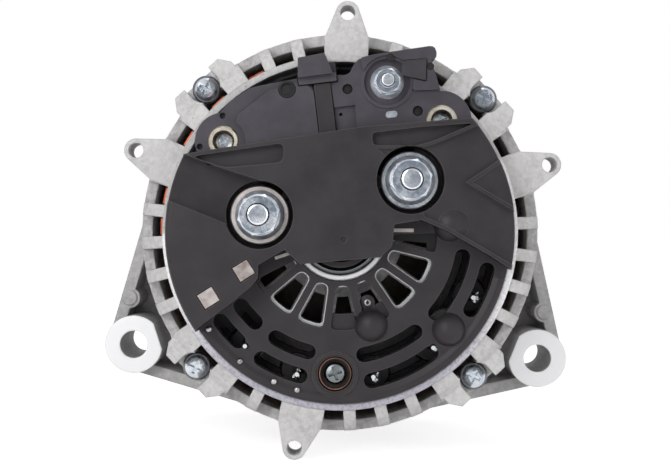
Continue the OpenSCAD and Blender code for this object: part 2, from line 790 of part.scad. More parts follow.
// Press-fit diode: a can, a glass seal and a lead
module diode(p, z0, z1, z_lead) {
    translate([p[0], p[1], 0]) rotate_extrude() polygon([[0, z0], [diode_d / 2 - 0.6, z0], [diode_d / 2, z0 + 0.6],
        [diode_d / 2, z1 - 0.6], [diode_d / 2 - 0.6, z1], [2, z1], [0.75, z1 + 1], [0.75, z_lead], [0, z_lead]]);
}

module negative_diodes() color(zinc) rear_view() for (d = neg_diodes)
    diode(polar(d[0], d[1]), neg_z - sink_t - 1, neg_z + neg_t, lead_top);

module positive_diodes() color(zinc) rear_view() for (d = pos_diodes)
    diode(polar(d[0], d[1]), pos_z - sink_t - 0.5, board_z - seat, board_z + 1.5);

module sink_insulators() color([0.55, 0.35, 0.2]) rear_view() {
    slab(neg_z + neg_t, pos_z) for (a = [246, 268, 324, 346]) translate(polar(37.7, a)) band(3.2, 1.6);
    slab(pos_z - 3, screw_low_z) translate(screw_low) band(5.8, screw_r + fit);
    slab(screw_low_z - 1, board_top - 1) translate(screw_low) band(5.8, 5.2);
}

module rectifier_board() color(black) rear_view() difference() {
    union() {
        slab(board_z, board_top) intersection() {
            band(board_r, window_in - 1.6);
            wedge(board_r, arm_a, arm_b);
            below(reg_line - seat);
        }
        slab(neg_z + neg_t + 1, board_z + 1) intersection() {
            band(board_r, board_r - 1.6);
            wedge(board_r, arm_a, arm_b);
            below(reg_line - seat);
        }
        // Round bead on the rim where the cover leaves it bare
        intersection() {
            turned() polygon([[board_r - 4.4, board_z], [board_r - 4.4, board_top - 0.2],
                [board_r - 2.4, board_top + 0.7], [board_r - 1.2, board_top + 0.7], [board_r - 0.3, board_top + 0.2],
                [board_r, board_top - 0.6], [board_r, board_z]]);
            slab(plate_rear, cover_top) wedge(board_r, 218, 346);
        }
        for (d = domes) intersection() {
            translate(polar(d[0], d[1])) translate([0, 0, board_top + dome_h - dome_r]) sphere(dome_r);
            slab(board_top - 1, cover_top) circle(board_r);
        }
        slab(board_z, board_top + 0.7) translate(screw_low) band(8.2, 7);
    }
    slab(board_z - 1, board_top + 1) {
        for (i = [1 : 6]) hub_window(window_in, window_out, 2.6, spoke_first + i * spoke_pitch,
            spoke_first + (i + 1) * spoke_pitch);
        hub_window(window_in, window_out, 2.6, spoke_first + 8, spoke_first + spoke_pitch);
        hub_window(window_in, window_out, 2.6, spoke_first + 7 * spoke_pitch, spoke_first + 7 * spoke_pitch + 16);
        air_slots(2.7);
        translate(screw_low) circle(6.2);
        for (p = [b1, b2]) translate(p) circle(collar_r + 0.8);
        for (p = [screw_left, screw_right]) translate(p) circle(sleeve_ring + seat);
        for (d = neg_diodes) translate(polar(d[0], d[1])) circle(1.2);
    }
    slab(board_z - 1, board_top - 1) for (d = pos_diodes) translate(polar(d[0], d[1])) circle(2.2);
}

module rectifier_screw() color(zinc) rear_view()
    pan_screw(screw_low, screw_r, 4, plate_front, screw_low_z, 2.6);

// Outline of the terminal cover; inset shrinks it by a wall
module cover_outline(inset = 0) {
    intersection() {
        circle(board_r - inset);
        difference() {
            rotate(brush_lean) polygon([[-90, -100], [-90, cover_peak - 3 - inset], [12, cover_peak - inset],
                [90, cover_peak - 3.3 - inset], [90, -100]]);
            polygon([[-60, -60], [-48 + inset, -34.6 + inset], [-35.8, -24.7 + inset],
                [-30.2 - inset, -19.8 + inset], [-27.8 - inset, -16.6], [-27.8 - inset, -12],
                [-19 - inset, -6.5], [-13.5, -11.3 + inset], [14.2, -8 + inset], [18 - inset, -4],
                [18.6 - inset, 3.5 + inset], [27.8, 5.4 + inset], [37, 1.8 + inset], [52, -6.2 + inset],
                [60 - inset, -11 + inset], [80, -20], [60, -80]]);
        }
    }
    for (p = [b1, b2]) translate(p) circle(well_r + cover_wall - inset);
}

// Cable channel whose floor runs straight from a terminal's well to the rim
module channel(points, z_rim, z_well, toward) {
    run = 34;
    slope = atan2(z_rim - z_well, run);
    intersection() {
        slab(min(z_rim, z_well) - 1, cover_top + 2) polygon(points);
        translate([toward[0], toward[1], z_well]) rotate(toward[2]) rotate([0, -slope, 0])
            translate([-30, -40, 0]) cube([90, 80, 40]);
    }
}

module cover_channels() {
    channel([[-70, 26], [-53.5, 24.8], [-43, 21.2], [b1[0], b1[1] + well_r], b1, [-39.4, 1.8], [-59, 8.8],
        [-70, 12]], cover_top - 1.5, contact_top - 0.5, [b1[0] - 8, b1[1] + 4, 172]);
    difference() {
        channel([b2, [12, 29.4], [25.4, 29.8], [31.5, 31.7], [46, 38.6], [70, 50], [70, -14.6], [57.6, -7.8],
            [42.6, 0.3], [37.2, 3.3], [29, 6.4]], cover_top - 3.9, cover_top - 2, [b2[0] + 8, b2[1], 0]);
        slab(board_top, cover_top - 1.6) polygon([[43, 18.8], [54.2, 27], [62, 29.8], [62, 8.2], [59.4, 9.8]]);
        // Low wall round the raised wedge
        slab(board_top, cover_top - 0.8) polygon([[42.6, 18.8], [54.2, 27.2], [62, 30], [62, 28.5], [54.7, 25.9],
            [45, 18.9], [60.1, 10.7], [62, 9.6], [62, 8], [59.4, 9.6]]);
    }
}

module terminal_cover() color(black) rear_view() difference() {
    union() {
        difference() {
            slab(cover_base, cover_top) cover_outline();
            cover_channels();
        }
        // Bulge of the channel floor over a diode
        intersection() {
            translate(polar(domes[2][0], domes[2][1])) translate([0, 0, cover_top - 9.1]) sphere(8.6);
            slab(contact_top - 1, cover_top) cover_outline();
        }
    }
    translate(polar(domes[2][0], domes[2][1])) translate([0, 0, board_top + dome_h - dome_r]) sphere(dome_r + seat);
    // Rounded outer edge of the top
    turned() polygon([[board_r - 1.9, cover_top + 1], [board_r - 1.9, cover_top], [board_r - 1.1, cover_top - 0.25],
        [board_r - 0.4, cover_top - 0.8], [board_r, cover_top - 1.8], [board_r + 1, cover_top - 1.8],
        [board_r + 1, cover_top + 1]]);
    // Hollow under the top, and the upper edge that reaches over the regulator
    difference() {
        slab(cover_base - 1, contact_top - 2.5) intersection() {
            cover_outline(cover_wall);
            below(reg_line - seat - cover_wall);
        }
        for (p = [b1, b2]) pin(p, well_r + cover_wall, cover_base - 2, cover_top);
    }
    slab(cover_base - 1, block_top + seat) {
        difference() {
            circle(board_r + 1);
            below(reg_line - seat);
        }
        for (p = [screw_left, screw_right]) translate(p) circle(sleeve_ring + seat);
    }
    slab(contact_top - 3.5, cover_top - cover_wall)
        polygon([[-20, 20], [-14, -2], [14, -1], [10, 20], [4, 27], [-18, 22]]);
    // Long pockets under the top edge
    slab(block_top + seat + 1.2, cover_top + 1) {
        polygon(eased([[-52, 24.4], [-20.4, 30.2], [-20.4, 23.6], [-40.6, 21]], 2.4));
        polygon(eased([[9.6, 34.7], [27, 37.4], [44.8, 39.3], [31, 32.7], [25, 30.9], [10.2, 30.5]], 1.6));
    }
    // Room for the slip rings and the brush box
    pin([0, 0], shroud_out + seat, cover_base - 1, slip_end + 1 + seat);
    rotate(brush_angle) translate([0, -box_w / 2 - seat, cover_base - 1])
        cube([brush_end, box_w + 2 * seat, box_rear + seat - cover_base + 1]);
    for (p = [b1, b2]) pin(p, well_r, cover_base - 1, cover_top + 1);
    pin([1.2, -2.3], 1.2, cover_top - 1, cover_top + 1);
    for (p = [weld_a, weld_b]) translate([p[0], p[1], cover_top - 2]) rotate(34)
        translate([-3.2, -3, 0]) cube([6.4, 6, 6]);
}

module battery_studs() color(zinc) rear_view() for (p = [b1, b2]) {
    slab(pos_z - 2.5, pos_z) translate(p) circle(7);
    translate([p[0], p[1], 0]) rotate_extrude() polygon([[0, pos_z - 1], [stud_r * mean_thread, pos_z - 1],
        [stud_r * mean_thread, nut_top], [stud_r, nut_top], [stud_r, nut_top + stud_end - 1],
        [stud_r - 1, nut_top + stud_end], [0, nut_top + stud_end]]);
}

module contact_discs() color([0.66, 0.62, 0.58]) rear_view() for (p = [b1, b2]) {
    disc_top = contact_top - (p == b2 ? 1.6 : 0);
    translate([p[0], p[1], 0]) rotate_extrude() polygon([[stud_r + fit, board_z], [collar_r, board_z],
        [collar_r, disc_top - 3], [contact_d / 2, disc_top - 2.5], [contact_d / 2, disc_top - 0.4],
        [contact_d / 2 - 0.4, disc_top], [stud_r + fit, disc_top]]);
}

module stud_washer() color(zinc) rear_view() translate([b2[0], b2[1], 0])
    slab(contact_top - 1.6, contact_top) band(contact_d / 2 - 0.6, stud_r + fit);

module battery_nuts() color(zinc) rear_view() for (p = [b1, b2])
    flange_nut(p, 13, 8.6, stud_r * mean_thread, contact_top, nut_h8);

module weld_tabs() color([0.80, 0.70, 0.66]) rear_view() for (p = [weld_a, weld_b])
    translate([p[0], p[1], 0]) rotate(34) {
        translate([-2.9, -2.7, cover_top - 2]) cube([5.8, 5.4, 1.8]);
        if (p == weld_a) translate([-2.9, -2.7, cover_top - 2]) cube([5.8, 0.6, 2.2]);
    }

// Radial brush box with a shroud round the slip rings and a rib along its back
module brush_holder() color(black) rear_view() difference() {
    union() {
        slab(slip_front, slip_end + 1) circle(shroud_out);
        rotate(brush_angle) translate([0, -box_w / 2, box_front]) cube([brush_end, box_w, box_rear - box_front]);
        rotate(brush_angle) translate([30, -14, box_front]) cube([14, 28, 3]);
        slab(box_rear - 1, block_top - 0.5) rotate(brush_lean)
            block2(-rib_side, rib_side, reg_line, brush_end - cap_ledge - seat);
    }
    slab(slip_front - 1, slip_end + 2) circle(shroud_in);
    for (z = [brush_a, brush_b]) rotate(brush_angle)
        translate([0, -brush_w / 2 - brush_fit, z - brush_t / 2 - brush_fit])
            cube([brush_end + 1, brush_w + 2 * brush_fit, brush_t + 2 * brush_fit]);
}

// Cap that closes the brush box: a plug, a ledge over the box and a block that reaches past the ring
module brush_cap() color(slate) rear_view() rotate(brush_lean) {
    slab(box_front, ring_face + seat + 1) block2(-box_w / 2, box_w / 2, brush_end, ring_in - 0.4);
    slab(ring_face + seat, cover_top - 1.5)
        polygon([[-8, brush_end], [4.2, brush_end], [2.2, cap_out], [-7.2, cap_out - 0.6]]);
    slab(box_rear + fit, block_top + 1) block2(-8, 5.3, brush_end - cap_ledge, brush_end + 0.5);
}

// Carbon brush with its foot worn to the slip ring
module brush(z) {
    rotate(brush_angle) difference() {
        translate([0, -brush_w / 2, z - brush_t / 2]) cube([slip_r + brush_len, brush_w, brush_t]);
        translate([0, 0, z - slip_w]) cylinder(r = brush_in, h = 2 * slip_w);
    }
}

module inner_brush() color([0.16, 0.16, 0.17]) rear_view() brush(brush_a);
module outer_brush() color([0.16, 0.16, 0.17]) rear_view() brush(brush_b);

// Coil spring between a brush and the cap, swept as a square-section helix
module brush_spring(z) {
    x0 = slip_r + brush_len;
    x1 = brush_end;
    turns = 9;
    per = 8;
    n = turns * per;
    s = spring_wire / 2;
    function at(i, u, v) = let (a = 360 * i / per, f = i / n, r = spring_r + u)
        [x0 + s + (x1 - x0 - 2 * s) * f + v, r * cos(a), r * sin(a)];
    points = [for (i = [0 : n], c = [[-s, -s], [s, -s], [s, s], [-s, s]]) at(i, c[0], c[1])];
    sides = [for (i = [0 : n - 1], k = [0 : 3], t = [0, 1]) let (a = 4 * i + k, b = 4 * i + (k + 1) % 4)
        t == 0 ? [a, b, b + 4] : [a, b + 4, a + 4]];
    translate([0, 0, z]) polyhedron(points, concat([[2, 1, 0], [3, 2, 0]], sides,
        [[4 * n, 4 * n + 1, 4 * n + 2], [4 * n, 4 * n + 2, 4 * n + 3]]));
}

module inner_brush_spring() color(steel) rear_view() rotate(brush_angle) brush_spring(brush_a);
module outer_brush_spring() color(steel) rear_view() rotate(brush_angle) brush_spring(brush_b);

// Room that the brush box, its rib and its cap need beside the regulator and the terminal block
module box_room() {
    rotate(brush_angle) translate([20, -box_w / 2 - fit, block_base - 1])
        cube([45, box_w + 2 * fit, box_rear + fit - block_base + 1]);
    slab(block_base - 1, cover_top) rotate(brush_lean) {
        block2(-rib_side - seat, rib_side + seat, 20, 70);
        block2(-8 - seat, 5.3 + seat, brush_end - cap_ledge - seat, 70);
    }
}

// Plain regulator body: a lobe round its screw and the broad part beside it
module regulator_body(z0, z1) {
    difference() {
        union() {
            pin(screw_left, 10, z0, z1);
            slab(z0, z1) polygon([[-50.6, 26], [-44.3, 39.4], [-40, 44.4], [-33.1, 49.4], [-29.2, 50.5],
                [-14.4, 53.8], [-2, 40], [0, 20], [-30, 10]]);
        }
        slab(z0 - 1, z1 + 1) {
            below(reg_line);
            rotate(brush_lean) block2(0, 20, 20, 60);
        }
    }
}

// Outline of the raised lid, up to the step round the screw lobe
module lid_outline(inset = 0) {
    difference() {
        polygon([[-41, 20], [-37 + inset, 39.8], [-26.4, 48.6 - inset], [-14.6, 52.4 - inset], [-2, 40], [0, 20]]);
        translate(screw_left) circle(7.8 + inset);
        below(reg_line + inset);
        rotate(brush_lean) block2(-rib_side - seat - inset, 40, 20, 60);
        rotate(brush_lean) block2(-8 - seat - inset, 40, brush_end - cap_ledge - seat - inset, 60);
    }
}

module regulator_housing() color(slate) rear_view() difference() {
    regulator_body(block_base, block_deck);
    slab(box_rear + 1.5, block_top) lid_outline(1.2);
    slab(block_base - 1, block_top + 1) translate(screw_left) circle(sleeve_r + fit);
    for (p = [[-42.4, 39.4], [-50, 28.3]]) pin(p, 1.1, block_deck - 2.5, block_top);
    box_room();
}

// Lid with a rim that drops into the housing
module regulator_lid() color(slate) rear_view() difference() {
    union() {
        slab(block_deck, block_top) lid_outline();
        slab(block_deck - 1.5, block_top) lid_outline(1.2 + fit);
    }
    pin([-20.2, 49.2], 3.1, block_top - 0.6, block_top + 1);
    pin([-20.2, 49.2], 1.9, block_deck - 0.4, block_top + 1);
}

// Upper rim of the terminal block, from the brush box to its right corner
block_rim = concat([[-6, 54.6]], [for (p = eased([[-3, 54.8], [1.2, 55.2], [3.4, 60.6], [8.6, 62.3], [30.8, 66.4],
    [31.8, 61.6]], 3.8)) if (p[0] > -2 && p[1] > 50) p]);

// Outline of the moulded terminal block, with a lobe round its screw
module block_outline() {
    difference() {
        union() {
            translate(screw_right) circle(10.4);
            polygon(concat([[0, 20], [-6, 40]], block_rim, [[33.4, 50], [43.4, 44.6], [44, 37], [40, 20]]));
        }
        below(reg_line);
    }
    translate(screw_right) circle(sleeve_ring);
}

// Flap over the connector, beside the lamp terminal
shutter_points = [[19.4, 60.4], [27.9, 61.5], [27.9, 53.9], [19.4, 55.5]];

module terminal_block() color(slate) rear_view() difference() {
    union() {
        slab(block_base, block_deck) block_outline();
        translate([lamp[0], lamp[1], 0]) slab(block_base, block_top - 1) circle(9.2);
        slab(block_base, block_top) difference() {
            intersection() {
                polygon([[3.6, 70], [34, 70], [33.2, 51], [24, 50.4], [22, 54], [6, 57]]);
                block_outline();
            }
            translate(lamp) circle(9.2);
            offset_flap(0.25);
        }
    }
    slab(block_base - 1, block_top) translate(screw_right) circle(sleeve_r + fit);
    slab(lamp_seat, block_top + 1) translate(lamp) circle(8.1);
    pin(lamp, lamp_r + fit, block_base + 2, block_top);
    slab(lamp_seat + 0.6, block_top + 1) difference() {
        offset_flap(0.25);
        translate(lamp) circle(9.2);
    }
    slab(block_base - 1, block_base + 3 + fit) lamp_strap_outline(fit);
    slab(block_base, block_top) lamp_pad_outline(fit);
    // Sunk corner beside the rib of the brush box, with its pin hole
    slab(block_deck - 1.6, block_top) rotate(brush_lean) block2(0, 10.6, 20, 43.6);
    pin([-1.2, 41.4], 0.6, block_deck - 4, block_top);
    for (p = [[15.4, 61.6], [29.4, 59]]) pin(p, 1.35, block_top - 0.6, block_top + 1);
    for (p = [[0.8, 50.2], [25.6, 43.4]]) pin(p, 1.8, block_deck - 2, block_top);
    box_room();
}

module offset_flap(grow) {
    polygon([shutter_points[0] + [-grow, grow], shutter_points[1] + [grow, grow],
        shutter_points[2] + [grow, -grow], shutter_points[3] + [-grow, -grow]]);
}

module block_shutter() color(black) rear_view() {
    slab(block_top - 1 + seat, block_top + 1) offset_flap(0);
    slab(lamp_seat + 0.6 + fit, block_top) difference() {
        offset_flap(0);
        translate(lamp) circle(9.2 + seat);
    }
}

// Strap that joins the lamp stud to its welding pad
pad_p = [16.5, 42];

module lamp_strap_outline(grow = 0) {
    polygon([lamp + [-2 - grow, 0], lamp + [2 + grow, 0], pad_p + [2 + grow, -1.2 - grow], pad_p + [-2 - grow, -1.2 - grow]]);
}

module lamp_pad_outline(grow = 0) {
    rotate(brush_lean) translate([cos(brush_lean) * pad_p[0] + sin(brush_lean) * pad_p[1],
        cos(brush_lean) * pad_p[1] - sin(brush_lean) * pad_p[0]]) {
        block2(-0.9, 0.9, -1.15 - grow, 1.15 + grow);
        for (x = [-0.9, 0.9]) translate([x, 0]) circle(1.15 + grow, $fn = 32);
    }
}

module lamp_stud() color(zinc) rear_view() {
    translate([lamp[0], lamp[1], 0]) rotate_extrude() polygon([[0, block_base + 2],
        [lamp_r * mean_thread, block_base + 2], [lamp_r * mean_thread, lamp_seat + lamp_nut_h],
        [lamp_r, lamp_seat + lamp_nut_h], [lamp_r, lamp_seat + 9.2], [lamp_r - 0.7, lamp_seat + 10], [0, lamp_seat + 10]]);
    slab(block_base + 2, block_base + 3) lamp_strap_outline();
    slab(block_base + 2, block_deck - 0.4) lamp_pad_outline();
}

module lamp_nut() color(zinc) rear_view() flange_nut(lamp, 8, 5.9, lamp_r * mean_thread, lamp_seat, lamp_nut_h);

module screw_sleeves() color([0.72, 0.68, 0.60]) rear_view() for (p = [screw_left, screw_right])
    translate([p[0], p[1], 0]) rotate_extrude() polygon([[screw_r + fit, block_base], [sleeve_r, block_base],
        [sleeve_r, block_top - 1.5], [sleeve_r - 0.5, block_top - 1], [sleeve_in, block_top - 1],
        [sleeve_in, block_base + 1.5], [screw_r + fit, block_base + 1.5]]);

module regulator_screws() color(zinc) rear_view() for (p = [screw_left, screw_right])
    pan_screw(p, screw_r, sleeve_in - 0.2, plate_rear - 0.8, block_base + 1.5, 2.8);

module shaft() color(steel) rear_view() turned() polygon([
    [0, shaft_front], [thread_r - 1, shaft_front], [thread_r, shaft_front + 1], [thread_r, pulley_web_z - washer_t],
    [front_bore / 2, pulley_web_z - washer_t + 0.6], [front_bore / 2, front_brg_end],
    [shaft_r + 1, front_brg_end], [shaft_r + 1, fan_front], [shaft_r, fan_front], [shaft_r, fan_rear],
    [rear_bore / 2 + 1.5, fan_rear], [rear_bore / 2 + 1.5, rear_brg_z], [rear_bore / 2, rear_brg_z],
    [rear_bore / 2, rear_brg_z + rear_w + 1], [slip_core_r, rear_brg_z + rear_w + 2],
    [slip_core_r, shaft_rear - 0.8], [slip_core_r - 0.8, shaft_rear], [0, shaft_rear]]);

// Trapezoid seen from outside the rotor, cut radially through the claw ring
module claw_prism() {
    translate([core_r + 4, 0, 0]) rotate([90, 0, 90]) linear_extrude(rotor_r) polygon([
        [-13.5, pole_front - 1], [13.5, pole_front - 1], [13.5, pole_front + 8], [5.5, claw_tip_z],
        [-5.5, claw_tip_z], [-13.5, pole_front + 8]]);
}

module claw_pole() {
    web_end = pole_front + pole_web;
    difference() {
        union() {
            slab(pole_front, web_end) circle(core_r + 8);
            slab(web_end - 1, stator_mid) circle(core_r);
            intersection() {
                turned() polygon([[core_r + 6, pole_front], [rotor_r - 2, pole_front], [rotor_r, pole_front + 2],
                    [rotor_r, claw_tip_z + 1], [rotor_r - 4, claw_tip_z + 1], [rotor_r - 8, web_end],
                    [core_r + 6, web_end]]);
                around(claw_count) claw_prism();
            }
        }
        slab(pole_front - 1, stator_mid + 1) circle(shaft_r);
    }
}

module claw_pole_front() color(iron) rear_view() claw_pole();

module claw_pole_rear() color(iron) rear_view() translate([0, 0, 2 * stator_mid]) mirror([0, 0, 1])
    rotate(180 / claw_count) claw_pole();

module coil_bobbin() color([0.85, 0.8, 0.6]) rear_view() {
    z0 = pole_front + pole_web + fit;
    z1 = pole_rear - pole_web - fit;
    turned() polygon([[core_r + fit, z0], [coil_r + 1, z0], [coil_r + 1, z0 + bobbin_wall],
        [core_r + bobbin_wall, z0 + bobbin_wall], [core_r + bobbin_wall, z1 - bobbin_wall],
        [coil_r + 1, z1 - bobbin_wall], [coil_r + 1, z1], [core_r + fit, z1]]);
}

module field_coil() color(copper) rear_view() {
    z0 = pole_front + pole_web + fit + bobbin_wall;
    z1 = pole_rear - pole_web - fit - bobbin_wall;
    slab(z0, z1) band(coil_r, core_r + bobbin_wall);
}

// Pressed fan: a spoked disc with curved blades
module fan(z_disc, dir) {
    translate([0, 0, z_disc]) mirror([0, 0, dir < 0 ? 1 : 0]) {
        slab(0, fan_t) difference() {
            circle(fan_r - 12);
            circle(shaft_r);
        }
        slab(0, fan_t) around(blade_n) intersection() {
            band(fan_r, fan_r - 15);
            wedge(fan_r, 0, 24);
        }
        slab(fan_t - 0.2, blade_h) around(blade_n) translate([fan_r - 26, -9]) intersection() {
            band(26, 24.6);
            wedge(26, 4, 48);
        }
    }
}

module front_fan() color(steel) rear_view() fan(pole_front, -1);
module rear_fan() color(steel) rear_view() fan(pole_rear, 1);

module slip_ring_carrier() color(black) rear_view() turned() polygon([
    [slip_core_r, slip_front], [slip_r - 0.4, slip_front], [slip_r - 0.4, slip_a], [slip_r - 1.5, slip_a],
    [slip_r - 1.5, slip_a + slip_w], [slip_r - 0.4, slip_a + slip_w], [slip_r - 0.4, slip_b],
    [slip_r - 1.5, slip_b], [slip_r - 1.5, slip_b + slip_w], [slip_r - 0.4, slip_b + slip_w],
    [slip_r - 0.4, slip_end], [slip_core_r, slip_end]]);

module slip_rings() color(copper) rear_view() for (z = [slip_a, slip_b])
    slab(z, z + slip_w) band(slip_r, slip_r - 1.5);

module pulley_spacer() color(steel) rear_view()
    slab(pulley_w / 2, front_brg_z) band(shaft_hole_r - 0.8, front_bore / 2);

module pulley() color(steel) rear_view() {
    half = pulley_w / 2;
    r = pulley_d / 2;
    depth = groove_pitch * 0.8;
    span = groove_count * groove_pitch / 2;
    grooves = [for (i = [0 : groove_count - 1], k = [0 : 3])
        [r - 1.4 - (k == 1 || k == 2 ? depth : 0), -span + groove_pitch * (i + [0.1, 0.42, 0.58, 0.9][k])]];
    turned() polygon(concat(
        [[front_bore / 2, pulley_web_z], [r - 11, pulley_web_z], [r - 8.5, -half], [r - 1, -half],
            [r, -half + 1], [r, -span - 0.8], [r - 1.4, -span]],
        grooves,
        [[r - 1.4, span], [r, span + 0.8], [r, half - 1], [r - 1, half], [r - 7, half], [r - 8.5, 4],
            [18, 4], [17, half], [front_bore / 2, half]]));
}

module pulley_washer() color(zinc) rear_view()
    slab(pulley_web_z - washer_t, pulley_web_z) band(14, front_bore / 2 + fit);

module pulley_nut() color(zinc) rear_view() difference() {
    intersection() {
        translate([0, 0, nut_front]) cylinder(r = 24 / sqrt(3), h = nut_h, $fn = 6);
        turned() polygon([[0, nut_front], [11.8, nut_front], [14.2, nut_front + 1.6],
            [14.2, nut_front + nut_h], [0, nut_front + nut_h]]);
    }
    translate([0, 0, nut_front - 1]) cylinder(r = thread_r, h = nut_h + 2);
}

drive_end_bracket();
rear_bracket();
stator_core();
stator_winding();
slot_liners();
through_bolts();
bolt_washers();
front_bearing_outer_ring();
rear_bearing_outer_ring();
bearing_seals();
bearing_retainer();
retainer_screws();
rear_bearing_bush();
negative_heat_sink();
positive_heat_sink();
negative_diodes();
positive_diodes();
sink_insulators();
rectifier_board();
rectifier_screw();
terminal_cover();
battery_studs();
contact_discs();
battery_nuts();
stud_washer();
weld_tabs();
brush_holder();
brush_cap();
inner_brush_spring();
outer_brush_spring();
regulator_housing();
regulator_lid();
terminal_block();
block_shutter();
lamp_stud();
lamp_nut();
screw_sleeves();
regulator_screws();
shaft();
claw_pole_front();
claw_pole_rear();
coil_bobbin();
field_coil();
front_fan();
rear_fan();
front_bearing_inner_ring();
rear_bearing_inner_ring();
slip_ring_carrier();
slip_rings();
pulley_spacer();
pulley();
pulley_washer();
pulley_nut();
front_bearing_balls();
front_bearing_cage();
rear_bearing_balls();
rear_bearing_cage();
inner_brush();
outer_brush();
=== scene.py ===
# Engine alternator seen from its rear: a finish for every CAD piece, small detail, and the studio round it.
import math
import random

import bmesh
import bpy
from mathutils import Matrix, Vector


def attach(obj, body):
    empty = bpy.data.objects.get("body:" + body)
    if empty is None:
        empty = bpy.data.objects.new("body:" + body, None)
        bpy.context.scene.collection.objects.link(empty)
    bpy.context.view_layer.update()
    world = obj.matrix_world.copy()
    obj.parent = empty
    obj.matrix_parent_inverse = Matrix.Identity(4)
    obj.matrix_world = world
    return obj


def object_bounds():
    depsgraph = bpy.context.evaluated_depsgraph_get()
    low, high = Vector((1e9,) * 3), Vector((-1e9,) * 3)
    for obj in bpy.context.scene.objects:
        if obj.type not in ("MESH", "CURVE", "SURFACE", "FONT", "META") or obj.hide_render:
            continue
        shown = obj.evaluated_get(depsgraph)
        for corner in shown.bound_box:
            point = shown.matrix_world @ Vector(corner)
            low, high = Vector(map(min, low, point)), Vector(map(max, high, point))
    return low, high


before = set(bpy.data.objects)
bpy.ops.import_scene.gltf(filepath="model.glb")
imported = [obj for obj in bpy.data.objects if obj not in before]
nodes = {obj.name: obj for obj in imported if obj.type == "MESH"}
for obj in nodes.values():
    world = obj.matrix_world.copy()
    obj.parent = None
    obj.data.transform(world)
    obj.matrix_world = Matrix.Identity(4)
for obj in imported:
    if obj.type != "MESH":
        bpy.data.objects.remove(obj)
cad_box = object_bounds()
scene = bpy.context.scene
MM = 0.001


# Small pieces are placed in mm as in the rear view: x to the right, z up, station behind the belt plane
def at(x, z, station):
    return Vector((x * MM, -station * MM, z * MM))


def polar(r, angle):
    return r * math.cos(math.radians(angle)), r * math.sin(math.radians(angle))


# Materials, with their places in metres
class Finish:
    """A material whose node tree ends in the Principled shader."""

    def __init__(self, name, colour, rough, metal=0.0, **sockets):
        self.mat = bpy.data.materials.new(name)
        self.mat.use_nodes = True
        self.tree = self.mat.node_tree
        self.shader = self.tree.nodes["Principled BSDF"]
        self.put("Base Color", colour)
        self.put("Roughness", rough)
        self.put("Metallic", metal)
        for key, value in sockets.items():
            self.put(key.replace("_", " "), value)
        self._place = None

    def put(self, socket, value, target=None):
        """Links a socket, or sets it where the value is a number or a colour."""
        plug = (target or self.shader).inputs[socket]
        if isinstance(value, bpy.types.NodeSocket):
            self.tree.links.new(value, plug)
        elif isinstance(value, tuple) and len(value) == 3 and plug.type == "RGBA":
            plug.default_value = (*value, 1)
        else:
            plug.default_value = value

    def add(self, kind, inputs=None, **settings):
        made = self.tree.nodes.new("ShaderNode" + kind)
        for key, value in settings.items():
            setattr(made, key, value)
        for socket, value in (inputs or {}).items():
            self.put(socket, value, made)
        return made

    @property
    def place(self):
        """Position on the object, with the shaft along Y."""
        if self._place is None:
            self._place = self.add("TexCoord").outputs["Object"]
        return self._place

    def axes(self):
        parts = self.add("SeparateXYZ", {0: self.place})
        return parts.outputs[0], parts.outputs[1], parts.outputs[2]

    def calc(self, how, a, b=0.0):
        return self.add("Math", {0: a, 1: b}, operation=how).outputs[0]

    def plus(self, a, b):
        return self.calc("ADD", a, b)

    def minus(self, a, b):
        return self.calc("SUBTRACT", a, b)

    def times(self, a, b):
        return self.calc("MULTIPLY", a, b)

    def either(self, a, b):
        return self.calc("MAXIMUM", a, b)

    def noise(self, scale, detail=3.0, rough=0.5, vector=None, stretch=None):
        vector = vector or self.place
        if stretch:
            vector = self.add("Mapping", {"Vector": vector, "Scale": stretch}).outputs[0]
        return self.add("TexNoise", {"Vector": vector, "Scale": scale, "Detail": detail,
                                     "Roughness": rough}).outputs["Fac"]

    def ramp(self, value, low, high, out_low=0.0, out_high=1.0):
        made = self.add("MapRange", {"Value": value, "From Min": low, "From Max": high,
                                     "To Min": out_low, "To Max": out_high}, interpolation_type="SMOOTHSTEP")
        return made.outputs[0]

    def above(self, value, level, edge=0.0001):
        """1 over a level and 0 under it, with a narrow soft edge."""
        return self.ramp(value, level - edge, level + edge)

    def below(self, value, level, edge=0.0001):
        return self.ramp(value, level + edge, level - edge)

    def inside(self, value, low, high, edge=0.00006):
        return self.times(self.above(value, low, edge), self.below(value, high, edge))

    def blend(self, factor, a, b):
        return self.add("Mix", {0: factor, 6: a, 7: b}, data_type="RGBA").outputs[2]

    def shaft_distance(self):
        x, _, z = self.axes()
        return self.calc("SQRT", self.plus(self.times(x, x), self.times(z, z)))

    def station(self):
        return self.times(self.axes()[1], -1.0)

    def bump(self, height, strength, depth, soften=0.0):
        """Height in 0 to 1 over a depth in metres, with edges rounded by a radius if given."""
        inputs = {"Height": height, "Strength": strength, "Distance": depth}
        if soften:
            inputs["Normal"] = self.add("Bevel", {"Radius": soften}, samples=4).outputs[0]
        self.put("Normal", self.add("Bump", inputs).outputs[0])


# Turned faces of the castings: a face's station, then the range it spans
RING_FACE, RING_RADII = 0.1448, (0.0606, 0.06335)
NOSE_FACE, NOSE_RADII = 0.1458, (0.0150, 0.0170)
FRONT_FACE = 0.0202
BOSS_INNER_SIDE, BOSS_STATIONS = 0.0601, (0.10685, 0.1090)

# Darkening of the castings: where the crust and painted shade of the deeper sides begin and are full, and
# where painted shade lies on the floor under the rectifier and round the hub
CRUST_AND_SHADE_STATIONS = 0.1425, 0.1365
SHADE_FLOOR_RADII, SHADE_FLOOR_STATIONS = (0.0355, 0.0598), (0.1250, 0.1310)
HUB_SHADE_RADIUS, HUB_SHADE_STATIONS = 0.0359, (0.0950, 0.1292)
PIT_COLOUR = 0.13, 0.125, 0.12
# Nearly black colour of the painted shade under the rectifier
PAINTED_SHADE_COLOUR = 0.012, 0.011, 0.012


